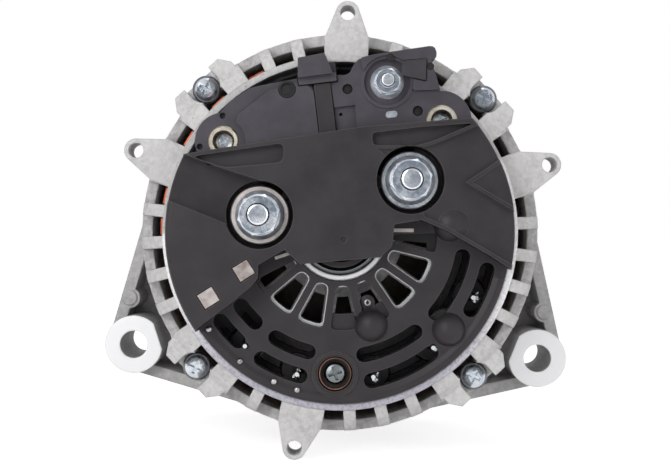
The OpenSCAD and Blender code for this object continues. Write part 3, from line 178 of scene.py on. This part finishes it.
def milled_ring_highlight(f, r, s):
    """Mask and colour of the milled ring round the rectifier, drawn bright only below a slanting line as a
    painted highlight, and darker and speckled towards the bottom.
    """
    x, _, z = f.axes()
    line = f.plus(f.minus(z, f.times(x, 0.25)), f.times(f.noise(60, 2.0), 0.006))
    mask = f.times(f.times(f.inside(r, *RING_RADII), f.above(s, RING_FACE)), f.ramp(line, 0.0170, 0.0150))
    low = f.ramp(z, -0.015, -0.055)
    specks = f.times(f.ramp(f.noise(820, 4.0, 0.7), 0.46, 0.60), f.ramp(low, 0.0, 1.0, 0.25, 0.8))
    colour = f.blend(low, (0.90, 0.89, 0.90), (0.50, 0.49, 0.55))
    return mask, f.blend(specks, colour, (0.33, 0.32, 0.37))


def cast_aluminium(name, tone, wear_and_shade, rear):
    """Sand-grained casting with pits, and the turned faces of the rear or the front bracket."""
    f = Finish(name, (tone, tone, tone), 0.55, 0.2)
    r, s = f.shaft_distance(), f.station()
    grain, broad = f.noise(620, 5.0, 0.62), f.noise(70, 3.0)
    pit = f.ramp(f.noise(1350, 2.0, 0.5), 0.31, 0.27)
    crust_and_recess_shade = f.times(f.ramp(s, *CRUST_AND_SHADE_STATIONS), f.ramp(f.noise(330, 4.0, 0.65), 0.62, 0.38))

    def shade(level):
        return tone * level, tone * level * 0.985, tone * level * 0.98

    body = f.blend(f.ramp(broad, 0.3, 0.7), shade(0.84), shade(1.02))
    body = f.blend(f.ramp(grain, 0.34, 0.66, 0.0, 0.75), body, shade(1.18))
    # Blotchy darkening of the deeper sides: crust, and painted shade in the recesses
    body = f.blend(f.times(crust_and_recess_shade, 0.40 * wear_and_shade), body, shade(0.42))
    body = f.blend(f.times(pit, 0.6 * wear_and_shade), body, PIT_COLOUR)

    tracks = f.add("CombineXYZ", {0: f.times(r, 9000.0), 1: f.times(s, 300.0)}).outputs[0]
    lines = f.noise(1.0, 2.0, 0.6, tracks)
    bright = f.blend(lines, (0.74, 0.74, 0.755), (0.95, 0.95, 0.955))
    if rear:
        # Painted shade: the floor under the rectifier and round the hub gets no light, so it is painted
        # nearly black
        painted_shade = f.either(f.times(f.inside(r, *SHADE_FLOOR_RADII), f.inside(s, *SHADE_FLOOR_STATIONS)),
                        f.times(f.below(r, HUB_SHADE_RADIUS), f.inside(s, *HUB_SHADE_STATIONS)))
        body = f.blend(f.times(painted_shade, 0.92), body, PAINTED_SHADE_COLOUR)
        # Painted highlight: the ring gets its bright turned colour only below a slanting line
        ring, milled_highlight = milled_ring_highlight(f, r, s)
        bright = f.blend(ring, bright, milled_highlight)
        turned = f.either(ring, f.times(f.inside(r, *NOSE_RADII), f.above(s, NOSE_FACE)))
    else:
        side = f.calc("ABSOLUTE", f.axes()[0])
        boss = f.times(f.above(side, BOSS_INNER_SIDE), f.inside(s, *BOSS_STATIONS))
        turned = f.either(boss, f.below(s, FRONT_FACE))

    f.put("Base Color", f.blend(turned, body, bright))
    f.put("Metallic", f.ramp(turned, 0.0, 1.0, 0.2, 0.55))
    f.put("Roughness", f.plus(f.ramp(turned, 0.0, 1.0, 0.52, 0.32), f.times(grain, 0.12)))
    cast_height = f.minus(f.plus(f.times(grain, 0.8), f.times(broad, 0.3)), f.times(pit, 0.6))
    height = f.plus(f.times(cast_height, f.minus(1.0, turned)), f.times(f.times(lines, 0.05), turned))
    f.bump(height, 0.9, 0.00030, 0.0008)
    return f.mat


def plastic(name, colour, rough, soften=0.0003, rub_and_highlight=0.0):
    """Moulded plastic with a fine grain, slightly uneven gloss and, if given, edges lightened as rubbed wear
    and a painted highlight.
    """
    mottle = 0.16
    f = Finish(name, colour, rough, Specular_IOR_Level=0.36)
    fine, broad = f.noise(2600, 3.0), f.noise(90, 4.0, 0.6)
    dark = tuple(c * (1 - mottle) for c in colour)
    light = tuple(min(1.0, c * (1 + mottle) + 0.004) for c in colour)
    tone = f.blend(f.ramp(broad, 0.3, 0.7), dark, light)
    if rub_and_highlight:
        # A rounded normal leaves the face's own normal only near an edge, where the colour is lightened as
        # rubbed wear and a painted highlight
        rounded = f.add("Bevel", {"Radius": 0.0007}, samples=6).outputs[0]
        own = f.add("NewGeometry").outputs["Normal"]
        turn = f.add("VectorMath", {0: rounded, 1: own}, operation="DOT_PRODUCT").outputs["Value"]
        tone = f.blend(f.ramp(turn, 0.985, 0.90, 0.0, rub_and_highlight), tone, (0.16, 0.15, 0.15))
    f.put("Base Color", tone)
    f.put("Roughness", f.ramp(f.plus(f.times(broad, 0.6), f.times(fine, 0.4)),
                              0.25, 0.75, rough - 0.07, rough + 0.10))
    f.bump(fine, 0.6, 0.00003, soften)
    return f.mat


def metal(name, colour, rough, tint=None, grain=0.000006, scratch=(1, 1, 1), scale=700):
    """Plated or bare metal with cloudy gloss and fine scratches along an axis."""
    f = Finish(name, colour, rough, 1.0)
    cloud = f.noise(160, 4.0, 0.6)
    fine = f.noise(scale, 3.0, 0.55, stretch=scratch)
    other = tint or tuple(c * 0.84 for c in colour)
    f.put("Base Color", f.blend(f.ramp(cloud, 0.32, 0.7), other, colour))
    f.put("Roughness", f.ramp(f.plus(f.times(cloud, 0.5), f.times(fine, 0.5)),
                              0.3, 0.7, max(0.08, rough - 0.08), rough + 0.12))
    f.bump(fine, 0.5, grain, 0.0001)
    return f.mat


def threaded(name, pitch, start):
    """Plated metal with turned thread grooves above a station."""
    bright, dull = (0.80, 0.82, 0.85), (0.60, 0.63, 0.70)
    f = Finish(name, bright, 0.22, 1.0)
    s = f.station()
    cloud = f.noise(160, 4.0, 0.6)
    groove = f.calc("ABSOLUTE", f.minus(f.calc("FRACT", f.calc("DIVIDE", s, pitch)), 0.5))
    f.put("Base Color", f.blend(f.ramp(cloud, 0.32, 0.7), dull, bright))
    f.put("Roughness", f.ramp(cloud, 0.3, 0.7, 0.16, 0.30))
    f.bump(f.times(groove, f.ramp(s, start, start + 0.0002)), 1.0, 0.0009)
    return f.mat


def flange_zinc(name, flange_top):
    """Plated nut whose flange, below a station, is duller than its hexagon."""
    f = Finish(name, (0.80, 0.83, 0.87), 0.2, 1.0)
    flange = f.below(f.station(), flange_top)
    cloud = f.noise(230, 4.0, 0.62)
    f.put("Base Color", f.blend(f.ramp(cloud, 0.32, 0.68), (0.46, 0.51, 0.59), (0.80, 0.82, 0.86)))
    f.put("Metallic", f.ramp(flange, 0.0, 1.0, 1.0, 0.6))
    f.put("Roughness", f.plus(f.ramp(cloud, 0.3, 0.7, 0.12, 0.28), f.times(flange, 0.25)))
    f.bump(f.noise(600, 3.0), 0.5, 0.000008, 0.00012)
    return f.mat


def diode_metal():
    """Plated cans on two levels, whose tops are potted in dark resin round the lead."""
    f = Finish("diode_metal", (0.70, 0.72, 0.75), 0.3, 1.0)
    s = f.station()
    resin = f.either(f.inside(s, 0.13285, 0.13415, 0.00005), f.inside(s, 0.14255, 0.14375, 0.00005))
    f.put("Base Color", f.blend(resin, (0.66, 0.68, 0.71), (0.02, 0.018, 0.017)))
    f.put("Metallic", f.minus(1.0, resin))
    f.put("Roughness", f.ramp(resin, 0.0, 1.0, 0.3, 0.55))
    f.bump(f.noise(900, 3.0), 0.4, 0.00003)
    return f.mat


def winding_copper():
    """Enamelled copper strands laid side by side round the end turns."""
    f = Finish("winding_copper", (0.55, 0.22, 0.09), 0.34, 0.85)
    x, y, z = f.axes()
    sweep = f.plus(f.times(f.calc("ARCTAN2", z, x), 34.0), f.times(y, 900.0))
    strands = f.calc("ABSOLUTE", f.calc("SINE", f.times(sweep, 3.2)))
    cloud = f.noise(150, 4.0)
    f.put("Base Color", f.blend(f.ramp(strands, 0.05, 0.7), (0.10, 0.03, 0.012),
                                f.blend(cloud, (0.40, 0.13, 0.05), (0.66, 0.28, 0.12))))
    f.put("Roughness", f.ramp(cloud, 0.3, 0.7, 0.28, 0.45))
    f.bump(strands, 1.0, 0.0004)
    return f.mat


def lamination():
    """Stacked electrical sheets, cut on edge."""
    sheet_thickness = 0.0005
    f = Finish("lamination_steel", (0.26, 0.26, 0.27), 0.5, 0.8)
    sheets = f.calc("ABSOLUTE", f.calc("SINE", f.times(f.station(), math.pi / sheet_thickness)))
    cloud = f.noise(110, 5.0, 0.62)
    f.put("Base Color", f.blend(f.ramp(cloud, 0.3, 0.72), (0.15, 0.13, 0.12), (0.34, 0.34, 0.35)))
    f.put("Roughness", f.ramp(cloud, 0.3, 0.7, 0.38, 0.6))
    f.bump(sheets, 0.7, 0.00012)
    return f.mat


def fibre(name, colour, dark):
    f = Finish(name, colour, 0.65)
    weave = f.noise(900, 4.0, 0.6, stretch=(1, 6, 1))
    f.put("Base Color", f.blend(f.ramp(weave, 0.3, 0.7), dark, colour))
    f.bump(weave, 0.6, 0.00006)
    return f.mat


def carbon():
    f = Finish("carbon", (0.035, 0.035, 0.037), 0.42, 0.3)
    grain = f.noise(1900, 4.0, 0.7)
    f.put("Base Color", f.blend(f.ramp(grain, 0.35, 0.7), (0.02, 0.02, 0.021), (0.09, 0.08, 0.075)))
    f.bump(grain, 0.6, 0.00004)
    return f.mat


finishes = {
    "cast_aluminium": cast_aluminium("cast_aluminium", 0.64, wear_and_shade=1.0, rear=True),
    "heat_sink_aluminium": metal("heat_sink_aluminium", (0.62, 0.625, 0.63), 0.38, scratch=(1, 1, 9)),
    "lamination_steel": lamination(),
    "winding_copper": winding_copper(),
    "slot_paper": fibre("slot_paper", (0.50, 0.44, 0.30), (0.36, 0.30, 0.19)),
    "zinc_steel": metal("zinc_steel", (0.66, 0.69, 0.73), 0.20, tint=(0.44, 0.48, 0.54)),
    "yellow_zinc": metal("yellow_zinc", (0.60, 0.56, 0.49), 0.34, tint=(0.44, 0.39, 0.31)),
    "bearing_steel": metal("bearing_steel", (0.76, 0.76, 0.77), 0.14, scratch=(1, 20, 1)),
    "cage_brass": metal("cage_brass", (0.78, 0.56, 0.24), 0.3),
    "seal_rubber": plastic("seal_rubber", (0.018, 0.018, 0.020), 0.6),
    "plain_steel": metal("plain_steel", (0.50, 0.50, 0.51), 0.34, tint=(0.36, 0.35, 0.35),
                         scratch=(1, 12, 1)),
    "pulley_steel": metal("pulley_steel", (0.30, 0.30, 0.31), 0.38, tint=(0.20, 0.20, 0.205),
                          scratch=(1, 16, 1)),
    "bush_plastic": plastic("bush_plastic", (0.04, 0.04, 0.042), 0.5),
    "sink_fibre": fibre("sink_fibre", (0.030, 0.022, 0.018), (0.016, 0.012, 0.010)),
    "black_plastic": plastic("black_plastic", (0.025, 0.0205, 0.024), 0.43, soften=0.0006, rub_and_highlight=0.45),
    "slate_plastic": plastic("slate_plastic", (0.061, 0.055, 0.069), 0.46, rub_and_highlight=0.25),
    "dark_plastic": plastic("dark_plastic", (0.040, 0.036, 0.042), 0.44),
    "contact_metal": metal("contact_metal", (0.60, 0.565, 0.55), 0.50, tint=(0.40, 0.365, 0.35)),
    "tinned_copper": metal("tinned_copper", (0.46, 0.42, 0.405), 0.46, tint=(0.19, 0.145, 0.135),
                           scale=300),
    "carbon": carbon(),
    # Finishes of single pieces, beside those of the record
    "front_casting": cast_aluminium("front_casting", 0.50, wear_and_shade=0.6, rear=False),
    "board_plastic": plastic("board_plastic", (0.026, 0.0215, 0.025), 0.47, rub_and_highlight=0.25),
    "deep_black": plastic("deep_black", (0.008, 0.007, 0.008), 0.6),
    # Near-black aluminium: painted shade for the heat sink deep under the slots
    "painted_shade_aluminium": metal("painted_shade_aluminium", (0.030, 0.028, 0.029), 0.6),
    "spring_washer": metal("spring_washer", (0.22, 0.22, 0.24), 0.30, tint=(0.12, 0.12, 0.13)),
    "battery_nut_zinc": flange_zinc("battery_nut_zinc", flange_top=0.15725),
    "lamp_nut_zinc": flange_zinc("lamp_nut_zinc", flange_top=0.15423),
    "battery_thread": threaded("battery_thread", pitch=0.00125, start=0.1632),
    "lamp_thread": threaded("lamp_thread", pitch=0.0008, start=0.1582),
    "fan_steel": metal("fan_steel", (0.10, 0.085, 0.075), 0.45, tint=(0.045, 0.036, 0.03)),
    "sunk_screw": metal("sunk_screw", (0.24, 0.26, 0.27), 0.30, tint=(0.12, 0.13, 0.14)),
    "diode_metal": diode_metal(),
    "solder": metal("solder", (0.56, 0.56, 0.56), 0.28, tint=(0.24, 0.24, 0.24),
                    scale=1500, grain=0.00004),
    "red_enamel": metal("red_enamel", (0.62, 0.17, 0.09), 0.34, tint=(0.42, 0.09, 0.05)),
    "bare_copper": metal("bare_copper", (0.26, 0.13, 0.09), 0.34, tint=(0.12, 0.06, 0.045)),
}

# Nodes that get another finish than the one their record names
chosen = {
    "drive_end_bracket": "front_casting",
    "rectifier_board": "board_plastic",
    "bolt_washers": "spring_washer",
    # The negative heat sink is painted dark as shade in the slots
    "negative_heat_sink": "painted_shade_aluminium",
    "negative_diodes": "diode_metal",
    "positive_diodes": "diode_metal",
    "battery_studs": "battery_thread",
    "lamp_stud": "lamp_thread",
    "battery_nuts": "battery_nut_zinc",
    "lamp_nut": "lamp_nut_zinc",
    "rectifier_screw": "sunk_screw",
    "rear_fan": "fan_steel",
}
for name, piece in nodes.items():
    for slot in piece.material_slots:
        own = slot.material.name.split(".")[0]
        slot.material = finishes[chosen.get(name, own)]


# Small mesh pieces, all fixed to the housing
class Shape:
    """Collects the faces of one piece."""

    def __init__(self):
        self.verts, self.faces = [], []

    def rings(self, rings, caps=True):
        """Skins a row of closed point rings."""
        n, start = len(rings[0]), len(self.verts)
        for ring in rings:
            self.verts.extend(ring)
        for i in range(len(rings) - 1):
            for k in range(n):
                a, b = start + i * n + k, start + i * n + (k + 1) % n
                self.faces.append((a, b, b + n, a + n))
        if caps:
            self.faces.append(tuple(range(start, start + n)))
            self.faces.append(tuple(reversed(range(start + (len(rings) - 1) * n, start + len(rings) * n))))

    def lathe(self, profile, x, z, base, segments, caps=True):
        """A profile of (radius, height over the base station) turned about a line parallel to the shaft."""
        angles = [360 * k / segments for k in range(segments)]
        self.rings([[at(x + polar(r, a)[0], z + polar(r, a)[1], base + height) for a in angles]
                    for r, height in profile], caps)

    def slab(self, points, s0, s1):
        """An outline of (x, z) points between two stations."""
        self.rings([[at(x, z, s) for x, z in points] for s in (s0, s1)])

    def arc_bar(self, r0, r1, a0, a1, s0, s1):
        """A bar along an arc round the shaft."""
        steps = 6
        outer = [polar(r1, a0 + (a1 - a0) * i / steps) for i in range(steps + 1)]
        inner = [polar(r0, a1 + (a0 - a1) * i / steps) for i in range(steps + 1)]
        self.slab(outer + inner, s0, s1)

    def lump(self, x, z, station, r):
        """A crumpled drop of solder."""
        rows, columns = 7, 12
        rings = []
        for i in range(rows + 1):
            lean = math.pi * (0.06 + 0.88 * i / rows)
            ring = []
            for k in range(columns):
                t = 2 * math.pi * k / columns
                way = Vector((math.sin(lean) * math.cos(t), math.cos(lean), math.sin(lean) * math.sin(t)))
                ring.append(at(x, z, station) + way * r * MM * random.uniform(0.78, 1.15))
            rings.append(ring)
        self.rings(rings)


def mesh_piece(name, shape, finish, smooth=True):
    data = bpy.data.meshes.new(name)
    data.from_pydata([tuple(v) for v in shape.verts], [], shape.faces)
    mesh = bmesh.new()
    mesh.from_mesh(data)
    bmesh.ops.recalc_face_normals(mesh, faces=mesh.faces)
    mesh.to_mesh(data)
    mesh.free()
    data.materials.append(finishes[finish])
    if smooth:
        data.shade_smooth()
        data.set_sharp_from_angle(angle=math.radians(35))
    made = bpy.data.objects.new(name, data)
    scene.collection.objects.link(made)
    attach(made, "housing")


random.seed(7)
BOARD_TOP = 147.0
LID_TOP = 154.3
BLOCK_LOW, BLOCK_HIGH = 151.7, 154.6

# Welded ends of the diode leads, each a large drop with a small one beside it
ends = Shape()
for x, z in [(-13.6, -51.3), (14.2, -51.7), (49.0, -21.7), (35.3, -39.8)]:
    ends.lump(x, z, BOARD_TOP - 2.4, 1.7)
    ends.lump(x + 0.5, z + 1.9, BOARD_TOP - 3.4, 1.1)
mesh_piece("lead_welds", ends, "solder")

# Rivets on the rim of the board
RIVET_CIRCLE, RIVET_ANGLES = 57.5, (218.3, 234.1, 248.0, 256.7)
rivets = Shape()
for angle in RIVET_ANGLES:
    x, z = polar(RIVET_CIRCLE, angle)
    rivets.lathe([(1.1, -0.6), (1.1, 0.9), (0.85, 1.3), (0.4, 1.5)], x, z, BOARD_TOP, 20)
mesh_piece("rim_rivets", rivets, "solder")

# Lands with a locating pin, beside the left stud and in a hub window, each with a tongue to one side
LAND_HALF_WIDTH = 2.2
lands, pins = Shape(), Shape()
for x, z, reach_x, reach_z in [(-27.0, -12.3, -29.5, -15.5), (10.6, -24.4, 12.0, -29.0)]:
    lands.lathe([(2.7, -4.0), (2.7, -2.0), (2.4, -1.8)], x, z, BOARD_TOP, 32)
    side_x, side_z = Vector((reach_z - z, x - reach_x)).normalized() * LAND_HALF_WIDTH
    lands.slab([(x + side_x, z + side_z), (x - side_x, z - side_z),
                (reach_x - side_x, reach_z - side_z), (reach_x + side_x, reach_z + side_z)],
               BOARD_TOP - 3.9, BOARD_TOP - 1.9)
    pins.lathe([(0.5, -2.6), (0.5, -1.0), (0.65, -0.9), (1.15, -1.0), (1.25, -1.9)], x, z, BOARD_TOP, 24,
               caps=False)
mesh_piece("pin_lands", lands, "board_plastic")
mesh_piece("locating_pins", pins, "solder")

# Plastic lands that close the outer ends of two hub windows, and behind a third a black sheet that paints
# the shade there
webs = Shape()
webs.arc_bar(28.8, 34.7, 265.0, 282.0, BOARD_TOP - 3.6, BOARD_TOP - 1.6)
webs.arc_bar(28.4, 34.7, 295.5, 307.0, BOARD_TOP - 3.6, BOARD_TOP - 2.4)
mesh_piece("window_webs", webs, "board_plastic")
window_shade_sheet = Shape()
window_shade_sheet.slab([(18.0, 1.2), (35.6, 1.2), (35.6, -7.0), (31.0, -6.6), (30.8, -2.6), (18.0, -1.9)],
                  BOARD_TOP - 3.0, BOARD_TOP - 1.7)
mesh_piece("window_shade", window_shade_sheet, "deep_black")

# Plug in the lid of the regulator
plug = Shape()
plug.lathe([(3.0, 0.0), (3.0, 0.5), (2.5, 0.65), (2.1, 0.5), (1.9, -0.2), (0.5, -0.2)],
           -20.2, 49.2, LID_TOP, 40)
mesh_piece("lid_plug", plug, "deep_black")

# Dark filling in the round marks of the terminal block: two large ones low down and two small ones above
marks = Shape()
for x, z, r, level in [(0.8, 50.2, 1.75, BLOCK_LOW), (25.6, 43.4, 1.75, BLOCK_LOW),
                       (15.4, 61.6, 1.3, BLOCK_HIGH), (29.4, 59.0, 1.3, BLOCK_HIGH)]:
    marks.lathe([(r, 0.0), (r, 0.25), (r * 0.6, 0.35)], x, z, level, 28)
mesh_piece("block_marks", marks, "deep_black")

# Ends of the two pale connecting bars that show beside the cover
bars = Shape()
for outline in ([(18.9, 0.9), (26.0, 1.1), (26.0, 2.4), (18.9, 2.2)],
                [(-22.5, -10.3), (-16.3, -8.0), (-16.7, -7.0), (-22.9, -9.3)]):
    bars.slab(outline, BOARD_TOP - 0.2, BOARD_TOP + 0.5)
mesh_piece("bar_ends", bars, "contact_metal", smooth=False)

# Copper edge of the ring round the lower screw
collar = Shape()
collar.lathe([(5.35, -1.2), (5.35, -0.85), (5.75, -0.85), (5.75, -1.2)], 0, -50, BOARD_TOP, 48, caps=False)
mesh_piece("screw_collar_edge", collar, "bare_copper")

# Enamelled wire along the ring wall, seen through the windows on the left
WIRE_ANGLES, WIRE_HALF_SPAN = (120, 135, 150, 170, 180), 2.6
wires = Shape()
for angle in WIRE_ANGLES:
    wires.arc_bar(63.3, 64.35, angle - WIRE_HALF_SPAN, angle + WIRE_HALF_SPAN, 139.4, 140.4)
mesh_piece("window_wires", wires, "red_enamel")


# Camera at the photograph's viewing angle, straight along the shaft with a slight roll
CAMERA_PLACE, CAMERA_ROLL = (-0.0018, -0.625, 0.0002), 2
lens = bpy.data.cameras.new("camera")
lens.lens = 72.6
lens.sensor_width = 36
lens.clip_start = 0.01
camera = bpy.data.objects.new("camera", lens)
camera.matrix_world = (Matrix.Translation(CAMERA_PLACE) @ Matrix.Rotation(math.radians(90), 4, "X")
                       @ Matrix.Rotation(math.radians(CAMERA_ROLL), 4, "Z"))
scene.collection.objects.link(camera)
scene.camera = camera


# Soft studio light
def facing(place):
    """Stands at a place and is turned to the rear half of the object."""
    aim = Vector((0, -0.1, 0))
    return Matrix.Translation(place) @ (Vector(place) - aim).to_track_quat("Z", "Y").to_matrix().to_4x4()


def area_light(name, place, power, size):
    lamp = bpy.data.lights.new(name, "AREA")
    lamp.energy = power
    lamp.size = size
    lit = bpy.data.objects.new(name, lamp)
    lit.matrix_world = facing(place)
    scene.collection.objects.link(lit)


area_light("key", (-0.50, -1.00, 0.30), 4.2, 0.55)
area_light("fill", (0.75, -0.85, 0.10), 2.6, 0.7)
area_light("top", (0.05, -0.05, 1.0), 1.8, 0.8)


CORNERS = (-1, -1), (1, -1), (1, 1), (-1, 1)


def stage_plane(name, corners):
    """A plane for the studio, with a new material, and that material's node tree."""
    data = bpy.data.meshes.new(name)
    data.from_pydata(corners, [], [(0, 1, 2, 3)])
    paint = bpy.data.materials.new(name)
    paint.use_nodes = True
    data.materials.append(paint)
    made = bpy.data.objects.new(name, data)
    scene.collection.objects.link(made)
    return made, paint.node_tree


# Cards that only reflections see: the dim parts of a studio, and a brighter wall behind the camera
def card(name, place, width, height, level=0.03):
    made, tree = stage_plane(name, [(x * width, y * height, 0) for x, y in CORNERS])
    made.matrix_world = facing(place)
    made.visible_camera = made.visible_diffuse = made.visible_shadow = False
    glow = tree.nodes.new("ShaderNodeEmission")
    glow.inputs["Color"].default_value = (level * 0.93, level, level * 1.06, 1)
    tree.links.new(glow.outputs[0], tree.nodes["Material Output"].inputs["Surface"])


card("card_left", (-0.42, -0.50, -0.02), 0.10, 0.20)
card("card_right", (0.40, -0.48, 0.10), 0.07, 0.18)
card("card_high", (0.05, -0.55, 0.42), 0.22, 0.06)
card("card_behind", (0.02, -1.25, 0.0), 0.46, 0.36, 0.36)


def direct_rays(tree):
    """1 for camera, glossy and transmission rays."""
    path = tree.nodes.new("ShaderNodeLightPath")
    a, b = tree.nodes.new("ShaderNodeMath"), tree.nodes.new("ShaderNodeMath")
    a.operation = b.operation = "MAXIMUM"
    tree.links.new(path.outputs["Is Camera Ray"], a.inputs[0])
    tree.links.new(path.outputs["Is Glossy Ray"], a.inputs[1])
    tree.links.new(a.outputs[0], b.inputs[0])
    tree.links.new(path.outputs["Is Transmission Ray"], b.inputs[1])
    return b.outputs[0]


def by_ray(tree, bounced, direct, output):
    """Shows one shader to direct rays and the other to light that has bounced."""
    pick = tree.nodes.new("ShaderNodeMixShader")
    tree.links.new(direct_rays(tree), pick.inputs[0])
    tree.links.new(bounced.outputs[0], pick.inputs[1])
    tree.links.new(direct.outputs[0], pick.inputs[2])
    tree.links.new(pick.outputs[0], tree.nodes[output].inputs["Surface"])


# White world that lights the object less than it shows
world = bpy.data.worlds.new("world")
scene.world = world
world.use_nodes = True
seen, ambient = world.node_tree.nodes["Background"], world.node_tree.nodes.new("ShaderNodeBackground")
for background, strength in ((seen, 1.0), (ambient, 0.30)):
    background.inputs["Color"].default_value = (1, 1, 1, 1)
    background.inputs["Strength"].default_value = strength
by_ray(world.node_tree, ambient, seen, "World Output")

# Pale floor that keeps the shadow and is lifted to white where it is seen
FLOOR_REACH = 4
floor_z = cad_box[0][2] - 0.0002
floor, tree = stage_plane("floor", [(x * FLOOR_REACH, y * FLOOR_REACH, floor_z) for x, y in CORNERS])
matt = tree.nodes["Principled BSDF"]
lift, lifted = tree.nodes.new("ShaderNodeEmission"), tree.nodes.new("ShaderNodeAddShader")
matt.inputs["Base Color"].default_value = (0.82, 0.82, 0.82, 1)
matt.inputs["Roughness"].default_value = 0.9
lift.inputs["Strength"].default_value = 0.72
tree.links.new(matt.outputs[0], lifted.inputs[0])
tree.links.new(lift.outputs[0], lifted.inputs[1])
by_ray(tree, matt, lifted, "Material Output")

scene.view_settings.view_transform = "Standard"
